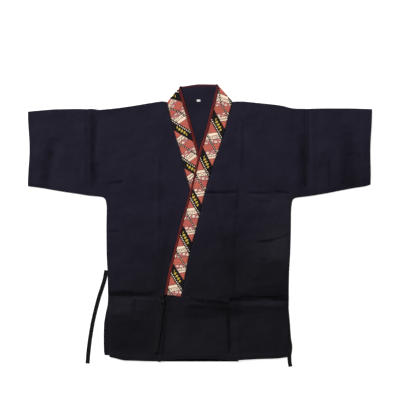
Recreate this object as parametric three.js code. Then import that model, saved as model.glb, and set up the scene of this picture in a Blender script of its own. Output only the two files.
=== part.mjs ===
// Wrap-front kitchen jacket, laid flat and buttonless, in millimetres.
// +X is the wearer's left side (the viewer's right), +Y runs from the hem to the collar, +Z is up.
// The origin is at the middle of the jacket's footprint, on the surface that it lies on.
import * as THREE from "three";

// Thicknesses and clearances
const CLOTH = 1.2;
const BAND = 2.4;
const TIE_THICKNESS = 1.2;
const TIE_WIDTH = 12;
const TAB_THICKNESS = 1;
const GAP = 0.3;
const SEAM_INSET = 0.5;
const HEM_EXTRA = 0.5;

// Heights of the layers: the back lies on the surface, the fronts on the back
const BACK_TOP = CLOTH;
const FRONT_BOTTOM = BACK_TOP + GAP;
const OVER_FRONT = CLOTH + GAP;
const OVER_BAND = BAND + GAP;
const TURN_LEVEL = BAND + GAP;
const CROSSING_LEVEL = FRONT_BOTTOM + OVER_BAND;
const RESTING_LEVEL = FRONT_BOTTOM + OVER_FRONT;

// Share of the collar band's width that its binding covers
const BINDING_SHARE = 0.15;
const BINDING_PARTING = 0.007;

// Seams between body and sleeves
const SEAM_X_RIGHT = -327.4;
const SEAM_X_LEFT = 317.7;

const INDIGO = { color: 0x1f1e2b, roughness: 0.88, metalness: 0 };
const PRINT = { color: 0xc65f54, roughness: 0.8, metalness: 0 };
const BINDING = { color: 0x9c2a30, roughness: 0.75, metalness: 0 };
const WHITE_TAPE = { color: 0xe9e7e2, roughness: 0.7, metalness: 0 };

function table(columns, rows) {
  return rows.map((row) => Object.fromEntries(columns.map((name, index) => [name, row[index]])));
}

// Collar band, from the turn beside the neck down to its lower end. Each row is a section across the
// band: its sewn edge, its bound free edge and the height of its underside.
const COLLAR_COLUMNS = ["seamX", "seamY", "freeX", "freeY", "level"];
const COLLAR_LEFT = table(COLLAR_COLUMNS, [
  [95.1, 352.4, 50.8, 402.4, TURN_LEVEL],
  [91.3, 342.0, 45.0, 380.0, TURN_LEVEL],
  [87.4, 328.5, 37.4, 347.0, TURN_LEVEL],
  [83.2, 313.2, 31.9, 327.7, FRONT_BOTTOM],
  [68.4, 256.7, 17.4, 269.7, FRONT_BOTTOM],
  [49.3, 198.7, -1.5, 211.7, CROSSING_LEVEL],
  [29.6, 143.6, -14.5, 153.7, CROSSING_LEVEL],
  [14.5, 88.5, -27.6, 98.6, CROSSING_LEVEL],
  [1.2, 34.8, -42.0, 46.4, CROSSING_LEVEL],
  [-12.2, -20.3, -57.4, -8.7, CROSSING_LEVEL],
  [-30.2, -86.1, -73.7, -75.4, RESTING_LEVEL],
  [-42.6, -149.4, -89.9, -139.2, RESTING_LEVEL],
  [-54.8, -214.6, -101.8, -207.6, RESTING_LEVEL],
]);
const COLLAR_RIGHT = table(COLLAR_COLUMNS, [
  [-95.4, 351.5, -58.0, 396.7, TURN_LEVEL],
  [-92.8, 338.0, -52.0, 378.0, TURN_LEVEL],
  [-89.2, 322.0, -42.6, 345.0, TURN_LEVEL],
  [-84.0, 300.0, -32.2, 313.2, FRONT_BOTTOM],
  [-72.5, 255.2, -20.3, 268.3, FRONT_BOTTOM],
  [-58.0, 210.3, -7.3, 221.9, FRONT_BOTTOM],
  [-46.4, 159.5, 5.8, 172.6, FRONT_BOTTOM],
  [-31.9, 110.2, 18.9, 123.3, FRONT_BOTTOM],
  [-17.0, 55.0, 32.5, 67.0, FRONT_BOTTOM],
  [0.0, -10.0, 49.0, 1.0, FRONT_BOTTOM],
  [20.0, -90.0, 68.5, -79.5, FRONT_BOTTOM],
  [35.0, -150.0, 83.0, -140.0, FRONT_BOTTOM],
  [50.0, -213.0, 98.0, -206.0, FRONT_BOTTOM],
]);

// Fronts below the collar's end, from the hem up: the free front edge and the side edge. Under is the
// height of what lies between this front and the back near its inner edge, side the same at its side.
const SKIRT_COLUMNS = ["innerX", "innerY", "outerX", "outerY", "under", "side", "hem"];
const SKIRT_LEFT = table(SKIRT_COLUMNS, [
  [-121.5, -397.0, 250.0, -396.5, 1.8, 1.6, 1],
  [-120.3, -383.0, 250.9, -381.5, 1.8, 1.6, 0.8],
  [-118.3, -366.0, 252.5, -362.0, 1.8, 1.6, 0],
  [-113.5, -326.0, 255.0, -322.0, 1.8, 1.6, 0],
  [-108.6, -284.0, 256.5, -282.0, 1.8, 1.6, 0],
  [-105.6, -256.0, 257.0, -254.0, 2.1, 1.6, 0],
  [-103.6, -238.0, 257.4, -238.0, 2.6, 1.6, 0],
  [-102.6, -218.6, 257.6, -226.0, OVER_BAND, 1.6, 0],
]);
const SKIRT_RIGHT = table(SKIRT_COLUMNS, [
  [112.0, -402.0, -263.0, -402.0, 0, 0, 1],
  [111.4, -387.5, -263.2, -387.0, 0, 0, 0.8],
  [110.6, -370.0, -263.5, -366.0, 0, 0, 0],
  [109.0, -328.0, -264.0, -322.0, 0, 0, 0],
  [106.5, -284.0, -264.5, -280.0, 0, 0, 0],
  [104.0, -250.0, -265.4, -246.0, 0, 0, 0],
  [101.0, -230.0, -266.2, -222.0, 0, 0, 0],
  [99.0, -216.0, -266.8, -212.0, 0, 0, 0],
]);

// Fronts along the collar, from its end up to the neck. SeamRow is a place on the collar's sewn edge,
// counted in the collar's own rows, and outer is the side, underarm or sleeve seam opposite it.
const CHEST_COLUMNS = ["seamRow", "outerX", "outerY", "under", "side", "top"];
const CHEST_LEFT = table(CHEST_COLUMNS, [
  [12, 257.8, -210.0, OVER_BAND, 1.6, 0],
  [11.7, 258.0, -190.0, OVER_BAND, 0.8, 0],
  [11, 258.8, -145.0, OVER_BAND, 0, 0],
  [10, 262.0, -88.0, OVER_BAND, 0, 0],
  [9, 264.0, -22.0, OVER_BAND, 0, 0],
  [8, 264.6, 32.0, OVER_BAND, 0, 0],
  [7.75, 266.0, 51.0, OVER_BAND, 0, 0],
  [7.5, 268.8, 65.0, OVER_BAND, 0, 0],
  [7.25, 276.0, 72.0, OVER_BAND, 0, 0],
  [7, SEAM_X_LEFT, 77.5, OVER_BAND, 0, 0],
  [6, SEAM_X_LEFT, 130.0, OVER_BAND, 0, 0],
  [5, SEAM_X_LEFT, 185.0, OVER_BAND, 0, 0],
  [4, SEAM_X_LEFT, 240.0, 0.6, 0, 0],
  [3, SEAM_X_LEFT, 293.0, 0, 0, 0],
  [2, SEAM_X_LEFT, 308.0, 0, 0, 0.3],
  [1, SEAM_X_LEFT, 320.0, 0, 0, 0.6],
  [0, SEAM_X_LEFT, 331.5, 0, 0, 1],
]);
const CHEST_RIGHT = table(CHEST_COLUMNS, [
  [12, -267.4, -205.0, 0, 0, 0],
  [11.7, -267.8, -188.0, 0, 0, 0],
  [11, -268.6, -145.0, 0, 0, 0],
  [10, -271.4, -88.0, 0, 0, 0],
  [9, -272.0, -12.0, 0, 0, 0],
  [8, -271.2, 42.0, 0, 0, 0],
  [7.75, -272.6, 57.0, 0, 0, 0],
  [7.5, -275.0, 67.0, 0, 0, 0],
  [7.25, -281.5, 74.0, 0, 0, 0],
  [7, SEAM_X_RIGHT, 79.4, 0, 0, 0],
  [6, SEAM_X_RIGHT, 135.0, 0, 0, 0],
  [5, SEAM_X_RIGHT, 188.0, 0, 0, 0],
  [4, SEAM_X_RIGHT, 238.0, 0, 0, 0],
  [3, SEAM_X_RIGHT, 286.0, 0, 0, 0],
  [2, SEAM_X_RIGHT, 304.0, 0, 0, 0.3],
  [1, SEAM_X_RIGHT, 318.0, 0, 0, 0.6],
  [0, SEAM_X_RIGHT, 330.6, 0, 0, 1],
]);

// How far the cut hem and the shoulder line depart from a straight row, along X
const HEM_LEFT = table(["x", "shift"], [
  [-121.5, -7], [-95, -1.5], [-50, 3], [0, 4], [60, 1.5], [97, -1.5], [132, 0], [170, 1.5], [225, 3.5], [250, 6.5],
]);
const HEM_RIGHT = table(["x", "shift"], [
  [-263, 13], [-250, 10.5], [-233, 6], [-216, 3], [-181, 2], [-120, 0], [60, 0], [112, 0],
]);
const SHOULDER_LEFT = table(["x", "shift"], [
  [95, 0], [132, 3.4], [167, 2.8], [201, 2.6], [236, 1.2], [271, -3.3], [306, -1], [318, 0],
]);
const SHOULDER_RIGHT = table(["x", "shift"], [
  [-328, 0], [-320, 0], [-286, -5.6], [-251, -5.4], [-216, -4.1], [-181, -2], [-146, 1.1], [-112, 3], [-95, 0],
]);

// Ironed creases that run down the fronts
const CREASE_LEFT = table(["y", "x"], [
  [-404, 88], [-260, 87], [-222, 99], [-150, 104], [35, 110], [130, 117], [300, 127], [356, 128],
]);
const CREASE_RIGHT = table(["y", "x"], [[-404, -128], [356, -123]]);
const CREASE_REACH = 14;

// Largest folds of each panel: a line from start to end, its height (a trough is negative) and reach
const FOLD_COLUMNS = ["startX", "startY", "endX", "endY", "height", "reach"];
const FOLDS_LEFT = table(FOLD_COLUMNS, [
  [127, 300, 104, -200, 1.3, 14],
  [95, -228, 262, -214, -2.0, 15],
  [87, -262, 88, -380, -1.3, 12],
  [20, 87, 110, 87, -0.9, 16],
  [136, 85, 206, 85, -1.0, 14],
  [164, -56, 258, -35, -0.9, 16],
  [300, 330, 300, 95, -1.2, 20],
  [90, 200, 230, 20, 0.8, 60],
]);
const FOLDS_RIGHT = table(FOLD_COLUMNS, [
  [-123, 200, -124, -110, 1.1, 14],
  [-262, -207, -126, -207, -1.9, 15],
  [-245, -238, -180, -238, 0.9, 30],
  [-276, 117, -220, 115, -0.8, 16],
  [-310, 325, -308, 95, -1.2, 20],
  [-180, 60, -235, -90, 0.8, 50],
]);
const BILLOW = 1.3;
const EDGE_TAPER = 0.14;

// The over front's inner edge, left of which the under front shows and may rise
const OVER_EDGE = table(["y", "x"], [
  [-404, -122], [-213, -102], [-8, -57], [100, -28], [209, -5], [404, 60],
]);
const PRESSED_MARGIN = 22;
const PRESSED_RAMP = 45;

// Sleeves, from the shoulder seam to the cuff. Rise is the crown of the upper layer, bow how far the
// cuff curves in at its middle.
const SLEEVE_COLUMNS = ["x", "top", "bottom", "rise", "bow"];
const SLEEVE_RIGHT = table(SLEEVE_COLUMNS, [
  [SEAM_X_RIGHT - GAP, 330.8, 79.4, 0.5, 0],
  [-337, 331.3, 81.0, 1.2, 0],
  [-355, 331.6, 83.9, 1.6, 0],
  [-378, 331.4, 87.2, 1.5, 0],
  [-402, 331.0, 90.9, 1.5, 0],
  [-425, 330.4, 94.7, 1.6, 0],
  [-448, 328.6, 98.8, 1.6, 1],
  [-471, 326.4, 102.4, 1.2, 3],
  [-485, 325.2, 104.2, 1.2, 4],
  [-499.5, 323.6, 106.0, 1.4, 5],
]);
const SLEEVE_LEFT = table(SLEEVE_COLUMNS, [
  [SEAM_X_LEFT + GAP, 331.8, 77.6, 0.5, 0],
  [329, 332.4, 79.0, 1.2, 0],
  [347, 332.9, 82.0, 1.5, 0],
  [376, 333.2, 87.1, 1.4, 0],
  [400, 333.1, 92.0, 1.4, 0],
  [424, 333.1, 96.5, 1.6, 0],
  [448, 332.8, 101.0, 1.6, 0],
  [471, 331.6, 104.2, 1.2, 0.5],
  [485, 330.2, 106.6, 1.2, 1],
  [499.5, 328.4, 111.0, 1.4, 3],
]);
const SLEEVE_FOLDS_RIGHT = table(FOLD_COLUMNS, [
  [-417, 248, -450, 116, -1.4, 24],
  [-350, 300, -352, 120, 0.6, 26],
]);
const SLEEVE_FOLDS_LEFT = table(FOLD_COLUMNS, [
  [428, 250, 432, 104, -1.5, 26],
  [378, 190, 380, 100, -0.8, 16],
]);
const SLEEVE_SHARES = [0.06, 0.14, 0.24, 0.34, 0.44, 0.54, 0.64, 0.74, 0.84, 0.93];
const SLEEVE_EDGE = 2.2;

// Back panel: its own cut edge, which shows at the vent beside the wearer's right hip and at the neck
const BACK_SIDE_RIGHT = table(["x", "y"], [
  [SEAM_X_RIGHT, 79.4], [-281, 74.3], [-274.6, 67], [-272.2, 57], [-270.8, 42], [-271.6, -12], [-271, -88],
  [-268.4, -145], [-267.2, -205], [-268.5, -235], [-274, -262], [-279, -296], [-280, -330], [-279.6, -368],
  [-277.4, -383],
]);
const BACK_HEM = table(["x", "y"], [
  [-262, -385], [-245, -389], [-216, -396], [-120, -399], [0, -391], [120, -396], [232, -391], [249, -388],
]);
const BACK_SIDE_LEFT = table(["x", "y"], [
  [252.5, -362], [256, -300], [257.4, -226], [258.6, -145], [261.8, -88], [263.8, -22], [264.4, 32],
  [265.8, 51], [268.6, 65], [276, 71.8], [SEAM_X_LEFT, 77.5],
]);
const BACK_SHOULDER_LEFT = table(["x", "y"], [
  [SEAM_X_LEFT, 331.5], [306, 331.6], [271, 332.6], [236, 340.4], [201, 345], [167, 348.5], [132, 352.3],
  [97, 352],
]);
const BACK_SHOULDER_RIGHT = table(["x", "y"], [
  [-97, 351.1], [-112, 353], [-146, 348], [-181, 341.8], [-216, 336.5], [-251, 331.9], [-286, 328.6],
  [-320, 330.4], [SEAM_X_RIGHT, 330.6],
]);

// Ties: points down the middle of each, on the jacket or on the surface beside it
const TIE_COLUMNS = ["x", "y", "z"];
const TIE_REST = TIE_THICKNESS / 2 + 0.05;
const TIE_ON_FRONT = RESTING_LEVEL + TIE_THICKNESS / 2;
const TIE_INSIDE = FRONT_BOTTOM + TIE_THICKNESS / 2;
const TIE_SIDE = table(TIE_COLUMNS, [
  [-274.8, -143, TIE_REST], [-279.8, -164, TIE_REST], [-286.4, -190.5, TIE_REST], [-292.8, -214, TIE_REST],
  [-299.9, -240, TIE_REST], [-306.3, -265.6, TIE_REST], [-311.8, -291, TIE_REST], [-316.4, -317.6, TIE_REST],
  [-320.4, -344, TIE_REST], [-323.4, -369.5, TIE_REST], [-325.2, -388, TIE_REST], [-326.6, -408, TIE_REST],
]);
const TIE_COLLAR = table(TIE_COLUMNS, [
  [-109, -206, TIE_ON_FRONT], [-110.4, -222, TIE_ON_FRONT], [-112.6, -240, TIE_ON_FRONT],
  [-115.2, -262, TIE_ON_FRONT], [-118, -288, TIE_ON_FRONT], [-120.4, -314, TIE_ON_FRONT],
  [-123.4, -340, TIE_ON_FRONT], [-126.4, -376, TIE_ON_FRONT],
]);
const TIE_INNER = table(TIE_COLUMNS, [
  [249.5, -216, TIE_INSIDE], [250.4, -236, TIE_INSIDE], [252.4, -262, TIE_INSIDE], [254.8, -288, TIE_INSIDE],
  [256.8, -314, TIE_INSIDE], [258.6, -338, TIE_INSIDE], [260.4, -358, 1.9], [260.8, -372, 1.5],
  [259.6, -386, 1.1], [260.2, -402, 0.8], [262.8, -417, TIE_REST],
]);
const TIE_CHAMFER = 0.35;
const TIE_STEP = 24;

// Blank tab in the back neck
const TAB_CENTRE_X = -4;
const TAB_CENTRE_Y = 356.2;
const TAB_WIDTH = 10.5;
const TAB_HEIGHT = 6.2;

function valueAt(rows, along, wanted, name) {
  let after = rows.findIndex((row) => row[along] >= wanted);
  if (after < 0) after = rows.length - 1;
  if (after === 0) return rows[0][name];
  const low = rows[after - 1];
  const high = rows[after];
  const share = THREE.MathUtils.clamp((wanted - low[along]) / (high[along] - low[along]), 0, 1);
  return THREE.MathUtils.lerp(low[name], high[name], share);
}

function foldHeight(fold, x, y) {
  const start = new THREE.Vector2(fold.startX, fold.startY);
  const along = new THREE.Vector2(fold.endX, fold.endY).sub(start);
  const offset = new THREE.Vector2(x, y).sub(start);
  const share = THREE.MathUtils.clamp(offset.dot(along) / along.lengthSq(), 0, 1);
  const distance = offset.addScaledVector(along, -share).length();
  return fold.height * Math.max(0, 1 - distance / fold.reach);
}

// A crown over the whole panel with its folds, never below the layer that it lies on
function reliefAt(folds, crown, x, y) {
  const height = folds.reduce((sum, fold) => sum + foldHeight(fold, x, y), crown);
  return Math.max(0, height);
}

// A closed wall between an outer and an inner set of rows of points. Rows that close on themselves make
// a tube, open rows make a sheet.
function wallBetween(outerRows, innerRows, ringClosed) {
  const lastRow = outerRows.length - 1;
  const pointCount = outerRows[0].length;
  const spanCount = ringClosed ? pointCount : pointCount - 1;
  const outer = (row, point) => row * pointCount + (point % pointCount);
  const inner = (row, point) => outerRows.length * pointCount + outer(row, point);
  const faces = [];
  const quad = (a, b, c, d) => faces.push(a, b, c, a, c, d);
  for (let row = 0; row < lastRow; row += 1) {
    for (let point = 0; point < spanCount; point += 1) {
      quad(outer(row, point), outer(row, point + 1), outer(row + 1, point + 1), outer(row + 1, point));
      quad(inner(row, point), inner(row + 1, point), inner(row + 1, point + 1), inner(row, point + 1));
    }
  }
  for (let point = 0; point < spanCount; point += 1) {
    quad(outer(0, point + 1), outer(0, point), inner(0, point), inner(0, point + 1));
    quad(outer(lastRow, point), outer(lastRow, point + 1), inner(lastRow, point + 1), inner(lastRow, point));
  }
  if (!ringClosed) {
    for (let row = 0; row < lastRow; row += 1) {
      quad(outer(row, 0), outer(row + 1, 0), inner(row + 1, 0), inner(row, 0));
      quad(outer(row + 1, spanCount), outer(row, spanCount), inner(row, spanCount), inner(row + 1, spanCount));
    }
  }
  return solidFrom([...outerRows.flat(), ...innerRows.flat()], faces);
}

function solidFrom(points, faces) {
  const normal = new THREE.Vector3();
  let volume = 0;
  for (let first = 0; first < faces.length; first += 3) {
    const [a, b, c] = faces.slice(first, first + 3).map((index) => points[index]);
    volume += a.dot(normal.crossVectors(b, c));
  }
  const outward = volume > 0 ? faces : faces.slice().reverse();
  const geometry = new THREE.BufferGeometry().setFromPoints(points);
  geometry.setIndex(outward);
  geometry.computeVertexNormals();
  return geometry;
}

function seamAt(collar, seamRow) {
  const low = Math.min(Math.floor(seamRow), collar.length - 2);
  const share = seamRow - low;
  return {
    x: THREE.MathUtils.lerp(collar[low].seamX, collar[low + 1].seamX, share),
    y: THREE.MathUtils.lerp(collar[low].seamY, collar[low + 1].seamY, share),
  };
}

// The sections of a front from hem to shoulder: below the collar's end they start at its free edge,
// above it at the collar's seam
function frontSections(skirt, chest, collar, outward) {
  const upper = chest.map((row) => {
    const seam = seamAt(collar, row.seamRow);
    return { ...row, innerX: seam.x + outward * SEAM_INSET, innerY: seam.y, hem: 0 };
  });
  const lower = skirt.map((row) => ({ ...row, top: 0 }));
  const sections = [...lower, ...upper];
  const collarEnd = upper[0];
  collarEnd.innerY -= SEAM_INSET;
  return sections.flatMap((section, index) => {
    const next = sections[index + 1];
    if (!next || index === lower.length - 1 || index < 1) return [section];
    const between = Object.fromEntries(
      Object.keys(section).map((name) => [name, (section[name] + next[name]) / 2]),
    );
    return [section, between];
  });
}

// Places of a section's points along X: even steps to the crease, one each side of it, and on to the side
function frontStations(section, crease, innerSteps, outerSteps) {
  const toOuter = Math.sign(section.outerX - section.innerX);
  const creaseX = valueAt(crease, "y", (section.innerY + section.outerY) / 2, "x");
  const near = creaseX - toOuter * CREASE_REACH;
  const far = creaseX + toOuter * CREASE_REACH;
  const stations = [];
  for (let step = 0; step <= innerSteps; step += 1) {
    stations.push(THREE.MathUtils.lerp(section.innerX, near, step / innerSteps));
  }
  stations.push(creaseX);
  for (let step = 0; step <= outerSteps; step += 1) {
    stations.push(THREE.MathUtils.lerp(far, section.outerX, step / outerSteps));
  }
  return { stations, far };
}

function front(shape) {
  const lowerRows = [];
  const upperRows = [];
  for (const section of frontSections(shape.skirt, shape.chest, shape.collar, shape.outward)) {
    const { stations, far } = frontStations(section, shape.crease, shape.innerSteps, shape.outerSteps);
    const width = section.outerX - section.innerX;
    const lower = [];
    const upper = [];
    for (const x of stations) {
      const share = (x - section.innerX) / width;
      const y = THREE.MathUtils.lerp(section.innerY, section.outerY, share)
        + section.hem * valueAt(shape.hem, "x", x, "shift")
        + section.top * valueAt(shape.shoulder, "x", x, "shift");
      const beyond = THREE.MathUtils.clamp((x - far) / (section.outerX - far), 0, 1);
      const under = THREE.MathUtils.lerp(section.under, section.side, beyond);
      const taper = Math.min(1, share / EDGE_TAPER, (1 - share) / EDGE_TAPER);
      const relief = reliefAt(shape.folds, BILLOW * Math.sin(Math.PI * share), x, y);
      const bottom = FRONT_BOTTOM + under + relief * taper * shape.freeAt(x, y);
      const thickness = CLOTH + (section.hem > 0 ? HEM_EXTRA * shape.freeAt(x, y) : 0);
      lower.push(new THREE.Vector3(x, y, bottom));
      upper.push(new THREE.Vector3(x, y, bottom + thickness));
    }
    lowerRows.push(lower);
    upperRows.push(upper);
  }
  return wallBetween(upperRows, lowerRows, false);
}

// Where the over front lies on it the under front is pressed flat
function shownShare(x, y) {
  const edge = valueAt(OVER_EDGE, "y", y, "x");
  return THREE.MathUtils.clamp((edge - PRESSED_MARGIN - x) / PRESSED_RAMP, 0, 1);
}

// A flattened sleeve: each ring runs along the lower layer, round the top fold and back along the upper
function sleeve(sections, folds) {
  const towardBody = -Math.sign(sections[0].x);
  const edgeZ = CLOTH + GAP / 2;
  const outerRings = [];
  const innerRings = [];
  for (const section of sections) {
    const height = section.top - section.bottom;
    const placeOf = (share) => {
      const y = section.bottom + share * height;
      const x = section.x + towardBody * section.bow * Math.sin(Math.PI * share) ** 2;
      return { x, y };
    };
    const riseOf = (share) => {
      const { x, y } = placeOf(share);
      return reliefAt(folds, section.rise * Math.sin(Math.PI * share) ** 0.7, x, y);
    };
    const layer = (zOf) => SLEEVE_SHARES.map((share) => {
      const { x, y } = placeOf(share);
      return new THREE.Vector3(x, y, zOf(share));
    });
    const corner = (y, z) => new THREE.Vector3(section.x, y, z);
    const innerBottom = section.bottom + SLEEVE_EDGE;
    const innerTop = section.top - SLEEVE_EDGE;
    outerRings.push([
      corner(section.bottom, edgeZ),
      corner(section.bottom + CLOTH, 0),
      ...layer(() => 0),
      corner(section.top - CLOTH, 0),
      corner(section.top, edgeZ),
      corner(section.top - CLOTH, 2 * CLOTH + GAP),
      ...layer((share) => 2 * CLOTH + GAP + riseOf(share)).reverse(),
      corner(section.bottom + CLOTH, 2 * CLOTH + GAP),
    ]);
    innerRings.push([
      corner(innerBottom, edgeZ),
      corner(innerBottom + GAP, CLOTH),
      ...layer(() => CLOTH),
      corner(innerTop - GAP, CLOTH),
      corner(innerTop, edgeZ),
      corner(innerTop - GAP, CLOTH + GAP),
      ...layer((share) => CLOTH + GAP + riseOf(share)).reverse(),
      corner(innerBottom + GAP, CLOTH + GAP),
    ]);
  }
  return wallBetween(outerRings, innerRings, true);
}

function outlineOf(...edges) {
  const points = edges.flat().map((point) => new THREE.Vector2(point.x, point.y));
  return new THREE.Shape(points);
}

function back() {
  const outline = outlineOf(
    BACK_SIDE_RIGHT, BACK_HEM, BACK_SIDE_LEFT, BACK_SHOULDER_LEFT, BACK_SHOULDER_RIGHT,
  );
  return new THREE.ExtrudeGeometry(outline, { depth: CLOTH, bevelEnabled: false });
}

// The collar's turn beside the neck: outward is square to it and points away from the front, and behind
// runs along the neck seam towards the middle, set back by one unit square to the turn
function turnDirections(turn) {
  const along = new THREE.Vector3(turn.freeX - turn.seamX, turn.freeY - turn.seamY, 0).normalize();
  const outward = new THREE.Vector3(-along.y, along.x, 0);
  if (outward.y < 0) outward.negate();
  const behind = new THREE.Vector3(-1 / outward.x, 0, 0);
  return { outward, behind };
}

// Rows of points across a strip of the collar, from share to share of its width
const STRIP_STEPS = 2;
const TURN_ANGLES = [-90, -45, 0, 45, 90];
const TURN_RADIUS = GAP / 2;
const TURN_TAIL = 5;
const TURN_REACH = BAND + TURN_RADIUS;

function acrossRow(row, fromShare, toShare) {
  const points = [];
  for (let step = 0; step <= STRIP_STEPS; step += 1) {
    const share = THREE.MathUtils.lerp(fromShare, toShare, step / STRIP_STEPS);
    points.push(new THREE.Vector3(
      THREE.MathUtils.lerp(row.seamX, row.freeX, share),
      THREE.MathUtils.lerp(row.seamY, row.freeY, share),
      0,
    ));
  }
  return points;
}

// A front stretch of the collar: its tail behind the neck, the turn and the sections down the front
function collarFront(rows, fromShare, toShare) {
  const { outward, behind } = turnDirections(rows[0]);
  const axis = acrossRow(rows[0], fromShare, toShare).map((point) => (
    point.addScaledVector(behind, TURN_REACH).setZ(TURN_REACH)
  ));
  const turned = (radius) => TURN_ANGLES.map((angle) => {
    const radians = THREE.MathUtils.degToRad(angle);
    const offset = outward.clone().multiplyScalar(Math.cos(radians) * radius);
    offset.z = Math.sin(radians) * radius;
    return axis.map((point) => point.clone().add(offset));
  });
  const tail = (z) => axis.map((point) => point.clone().addScaledVector(behind, TURN_TAIL).setZ(z));
  const down = (extra) => rows.slice(1).map((row) => (
    acrossRow(row, fromShare, toShare).map((point) => point.setZ(row.level + extra))
  ));
  const outerRows = [tail(0), ...turned(TURN_REACH), ...down(BAND)];
  const innerRows = [tail(BAND), ...turned(TURN_RADIUS), ...down(0)];
  return wallBetween(outerRows, innerRows, false);
}

// The collar behind the neck, between the two tails, with its inner face up
const BACK_COLLAR_MIDDLE = { seamX: 0, seamY: 352.3, freeX: 0, freeY: 403.2 };
function collarBack(fromShare, toShare) {
  const inset = TURN_REACH + TURN_TAIL + GAP;
  const endRow = (turn) => acrossRow(turn, fromShare, toShare).map((point) => (
    point.addScaledVector(turnDirections(turn).behind, inset)
  ));
  const middle = acrossRow(BACK_COLLAR_MIDDLE, fromShare, toShare);
  const rows = [endRow(COLLAR_RIGHT[0]), middle, endRow(COLLAR_LEFT[0])];
  const raised = (z) => rows.map((row) => row.map((point) => point.clone().setZ(z)));
  return wallBetween(raised(BAND), raised(0), false);
}

// A flat tie with narrow chamfers along its edges, swept down its middle line
function tie(points) {
  const halfThick = TIE_THICKNESS / 2;
  const halfWide = TIE_WIDTH / 2;
  const section = new THREE.Shape([
    [-halfThick, -halfWide + TIE_CHAMFER], [-halfThick + TIE_CHAMFER, -halfWide],
    [halfThick - TIE_CHAMFER, -halfWide], [halfThick, -halfWide + TIE_CHAMFER],
    [halfThick, halfWide - TIE_CHAMFER], [halfThick - TIE_CHAMFER, halfWide],
    [-halfThick + TIE_CHAMFER, halfWide], [-halfThick, halfWide - TIE_CHAMFER],
  ].map(([x, y]) => new THREE.Vector2(x, y)));
  const route = new THREE.CatmullRomCurve3(points.map((point) => new THREE.Vector3(point.x, point.y, point.z)));
  const steps = Math.round(route.getLength() / TIE_STEP);
  return new THREE.ExtrudeGeometry(section, { steps, extrudePath: route, bevelEnabled: false });
}

function sizeTab() {
  return new THREE.BoxGeometry(TAB_WIDTH, TAB_HEIGHT, TAB_THICKNESS);
}

const jacket = new THREE.Group();

function add(name, geometry, finish) {
  const mesh = new THREE.Mesh(geometry, new THREE.MeshStandardMaterial(finish));
  mesh.name = name;
  jacket.add(mesh);
  return mesh;
}

const FRONT_RIGHT_SHAPE = {
  skirt: SKIRT_RIGHT,
  chest: CHEST_RIGHT,
  collar: COLLAR_RIGHT,
  outward: -1,
  crease: CREASE_RIGHT,
  hem: HEM_RIGHT,
  shoulder: SHOULDER_RIGHT,
  folds: FOLDS_RIGHT,
  innerSteps: 7,
  outerSteps: 9,
  freeAt: shownShare,
};
const FRONT_LEFT_SHAPE = {
  skirt: SKIRT_LEFT,
  chest: CHEST_LEFT,
  collar: COLLAR_LEFT,
  outward: 1,
  crease: CREASE_LEFT,
  hem: HEM_LEFT,
  shoulder: SHOULDER_LEFT,
  folds: FOLDS_LEFT,
  innerSteps: 7,
  outerSteps: 9,
  freeAt: () => 1,
};
const BAND_END = 1 - BINDING_SHARE;
const BINDING_START = BAND_END + BINDING_PARTING;

add("back", back(), INDIGO);
add("front_right", front(FRONT_RIGHT_SHAPE), INDIGO);
add("front_left", front(FRONT_LEFT_SHAPE), INDIGO);
add("sleeve_right", sleeve(SLEEVE_RIGHT, SLEEVE_FOLDS_RIGHT), INDIGO);
add("sleeve_left", sleeve(SLEEVE_LEFT, SLEEVE_FOLDS_LEFT), INDIGO);
add("collar_right", collarFront(COLLAR_RIGHT, 0, BAND_END), PRINT);
add("collar_back", collarBack(0, BAND_END), INDIGO);
add("collar_left", collarFront(COLLAR_LEFT, 0, BAND_END), PRINT);
add("binding_right", collarFront(COLLAR_RIGHT, BINDING_START, 1), BINDING);
add("binding_back", collarBack(BINDING_START, 1), BINDING);
add("binding_left", collarFront(COLLAR_LEFT, BINDING_START, 1), BINDING);
add("tie_side", tie(TIE_SIDE), INDIGO);
add("tie_collar", tie(TIE_COLLAR), INDIGO);
add("tie_inner", tie(TIE_INNER), INDIGO);
const tab = add("size_tab", sizeTab(), WHITE_TAPE);
tab.position.set(TAB_CENTRE_X, TAB_CENTRE_Y, BAND + GAP + TAB_THICKNESS / 2);

export default jacket;
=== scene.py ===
"""Looks of a wrap-front kitchen jacket that lies flat: indigo twill, a printed collar band and ties."""
import math

import bpy
import numpy as np
from bpy.props import FloatProperty, FloatVectorProperty, IntProperty, PointerProperty
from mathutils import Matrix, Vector


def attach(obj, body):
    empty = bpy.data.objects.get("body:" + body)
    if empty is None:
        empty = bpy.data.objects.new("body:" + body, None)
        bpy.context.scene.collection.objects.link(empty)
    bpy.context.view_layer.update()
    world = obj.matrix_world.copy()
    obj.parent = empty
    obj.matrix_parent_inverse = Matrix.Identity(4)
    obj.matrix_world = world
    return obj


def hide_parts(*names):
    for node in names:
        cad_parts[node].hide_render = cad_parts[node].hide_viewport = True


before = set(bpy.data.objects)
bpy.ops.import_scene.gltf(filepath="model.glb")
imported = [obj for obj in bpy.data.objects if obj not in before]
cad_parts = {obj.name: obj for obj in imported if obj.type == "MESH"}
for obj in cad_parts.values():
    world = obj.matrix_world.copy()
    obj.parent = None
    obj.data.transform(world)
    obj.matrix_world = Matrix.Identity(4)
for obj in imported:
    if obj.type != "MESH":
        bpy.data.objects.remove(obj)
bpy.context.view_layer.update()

bl_info = {
    "name": "Wrap-front kitchen jacket",
    "version": (1, 0, 0),
    "blender": (4, 5, 0),
    "location": "View3D > Sidebar > Jacket",
    "description": "Builds the cloth, collar band, ties and stitches of a jacket that lies flat",
    "category": "Add Mesh",
}

MM = 0.001

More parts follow.
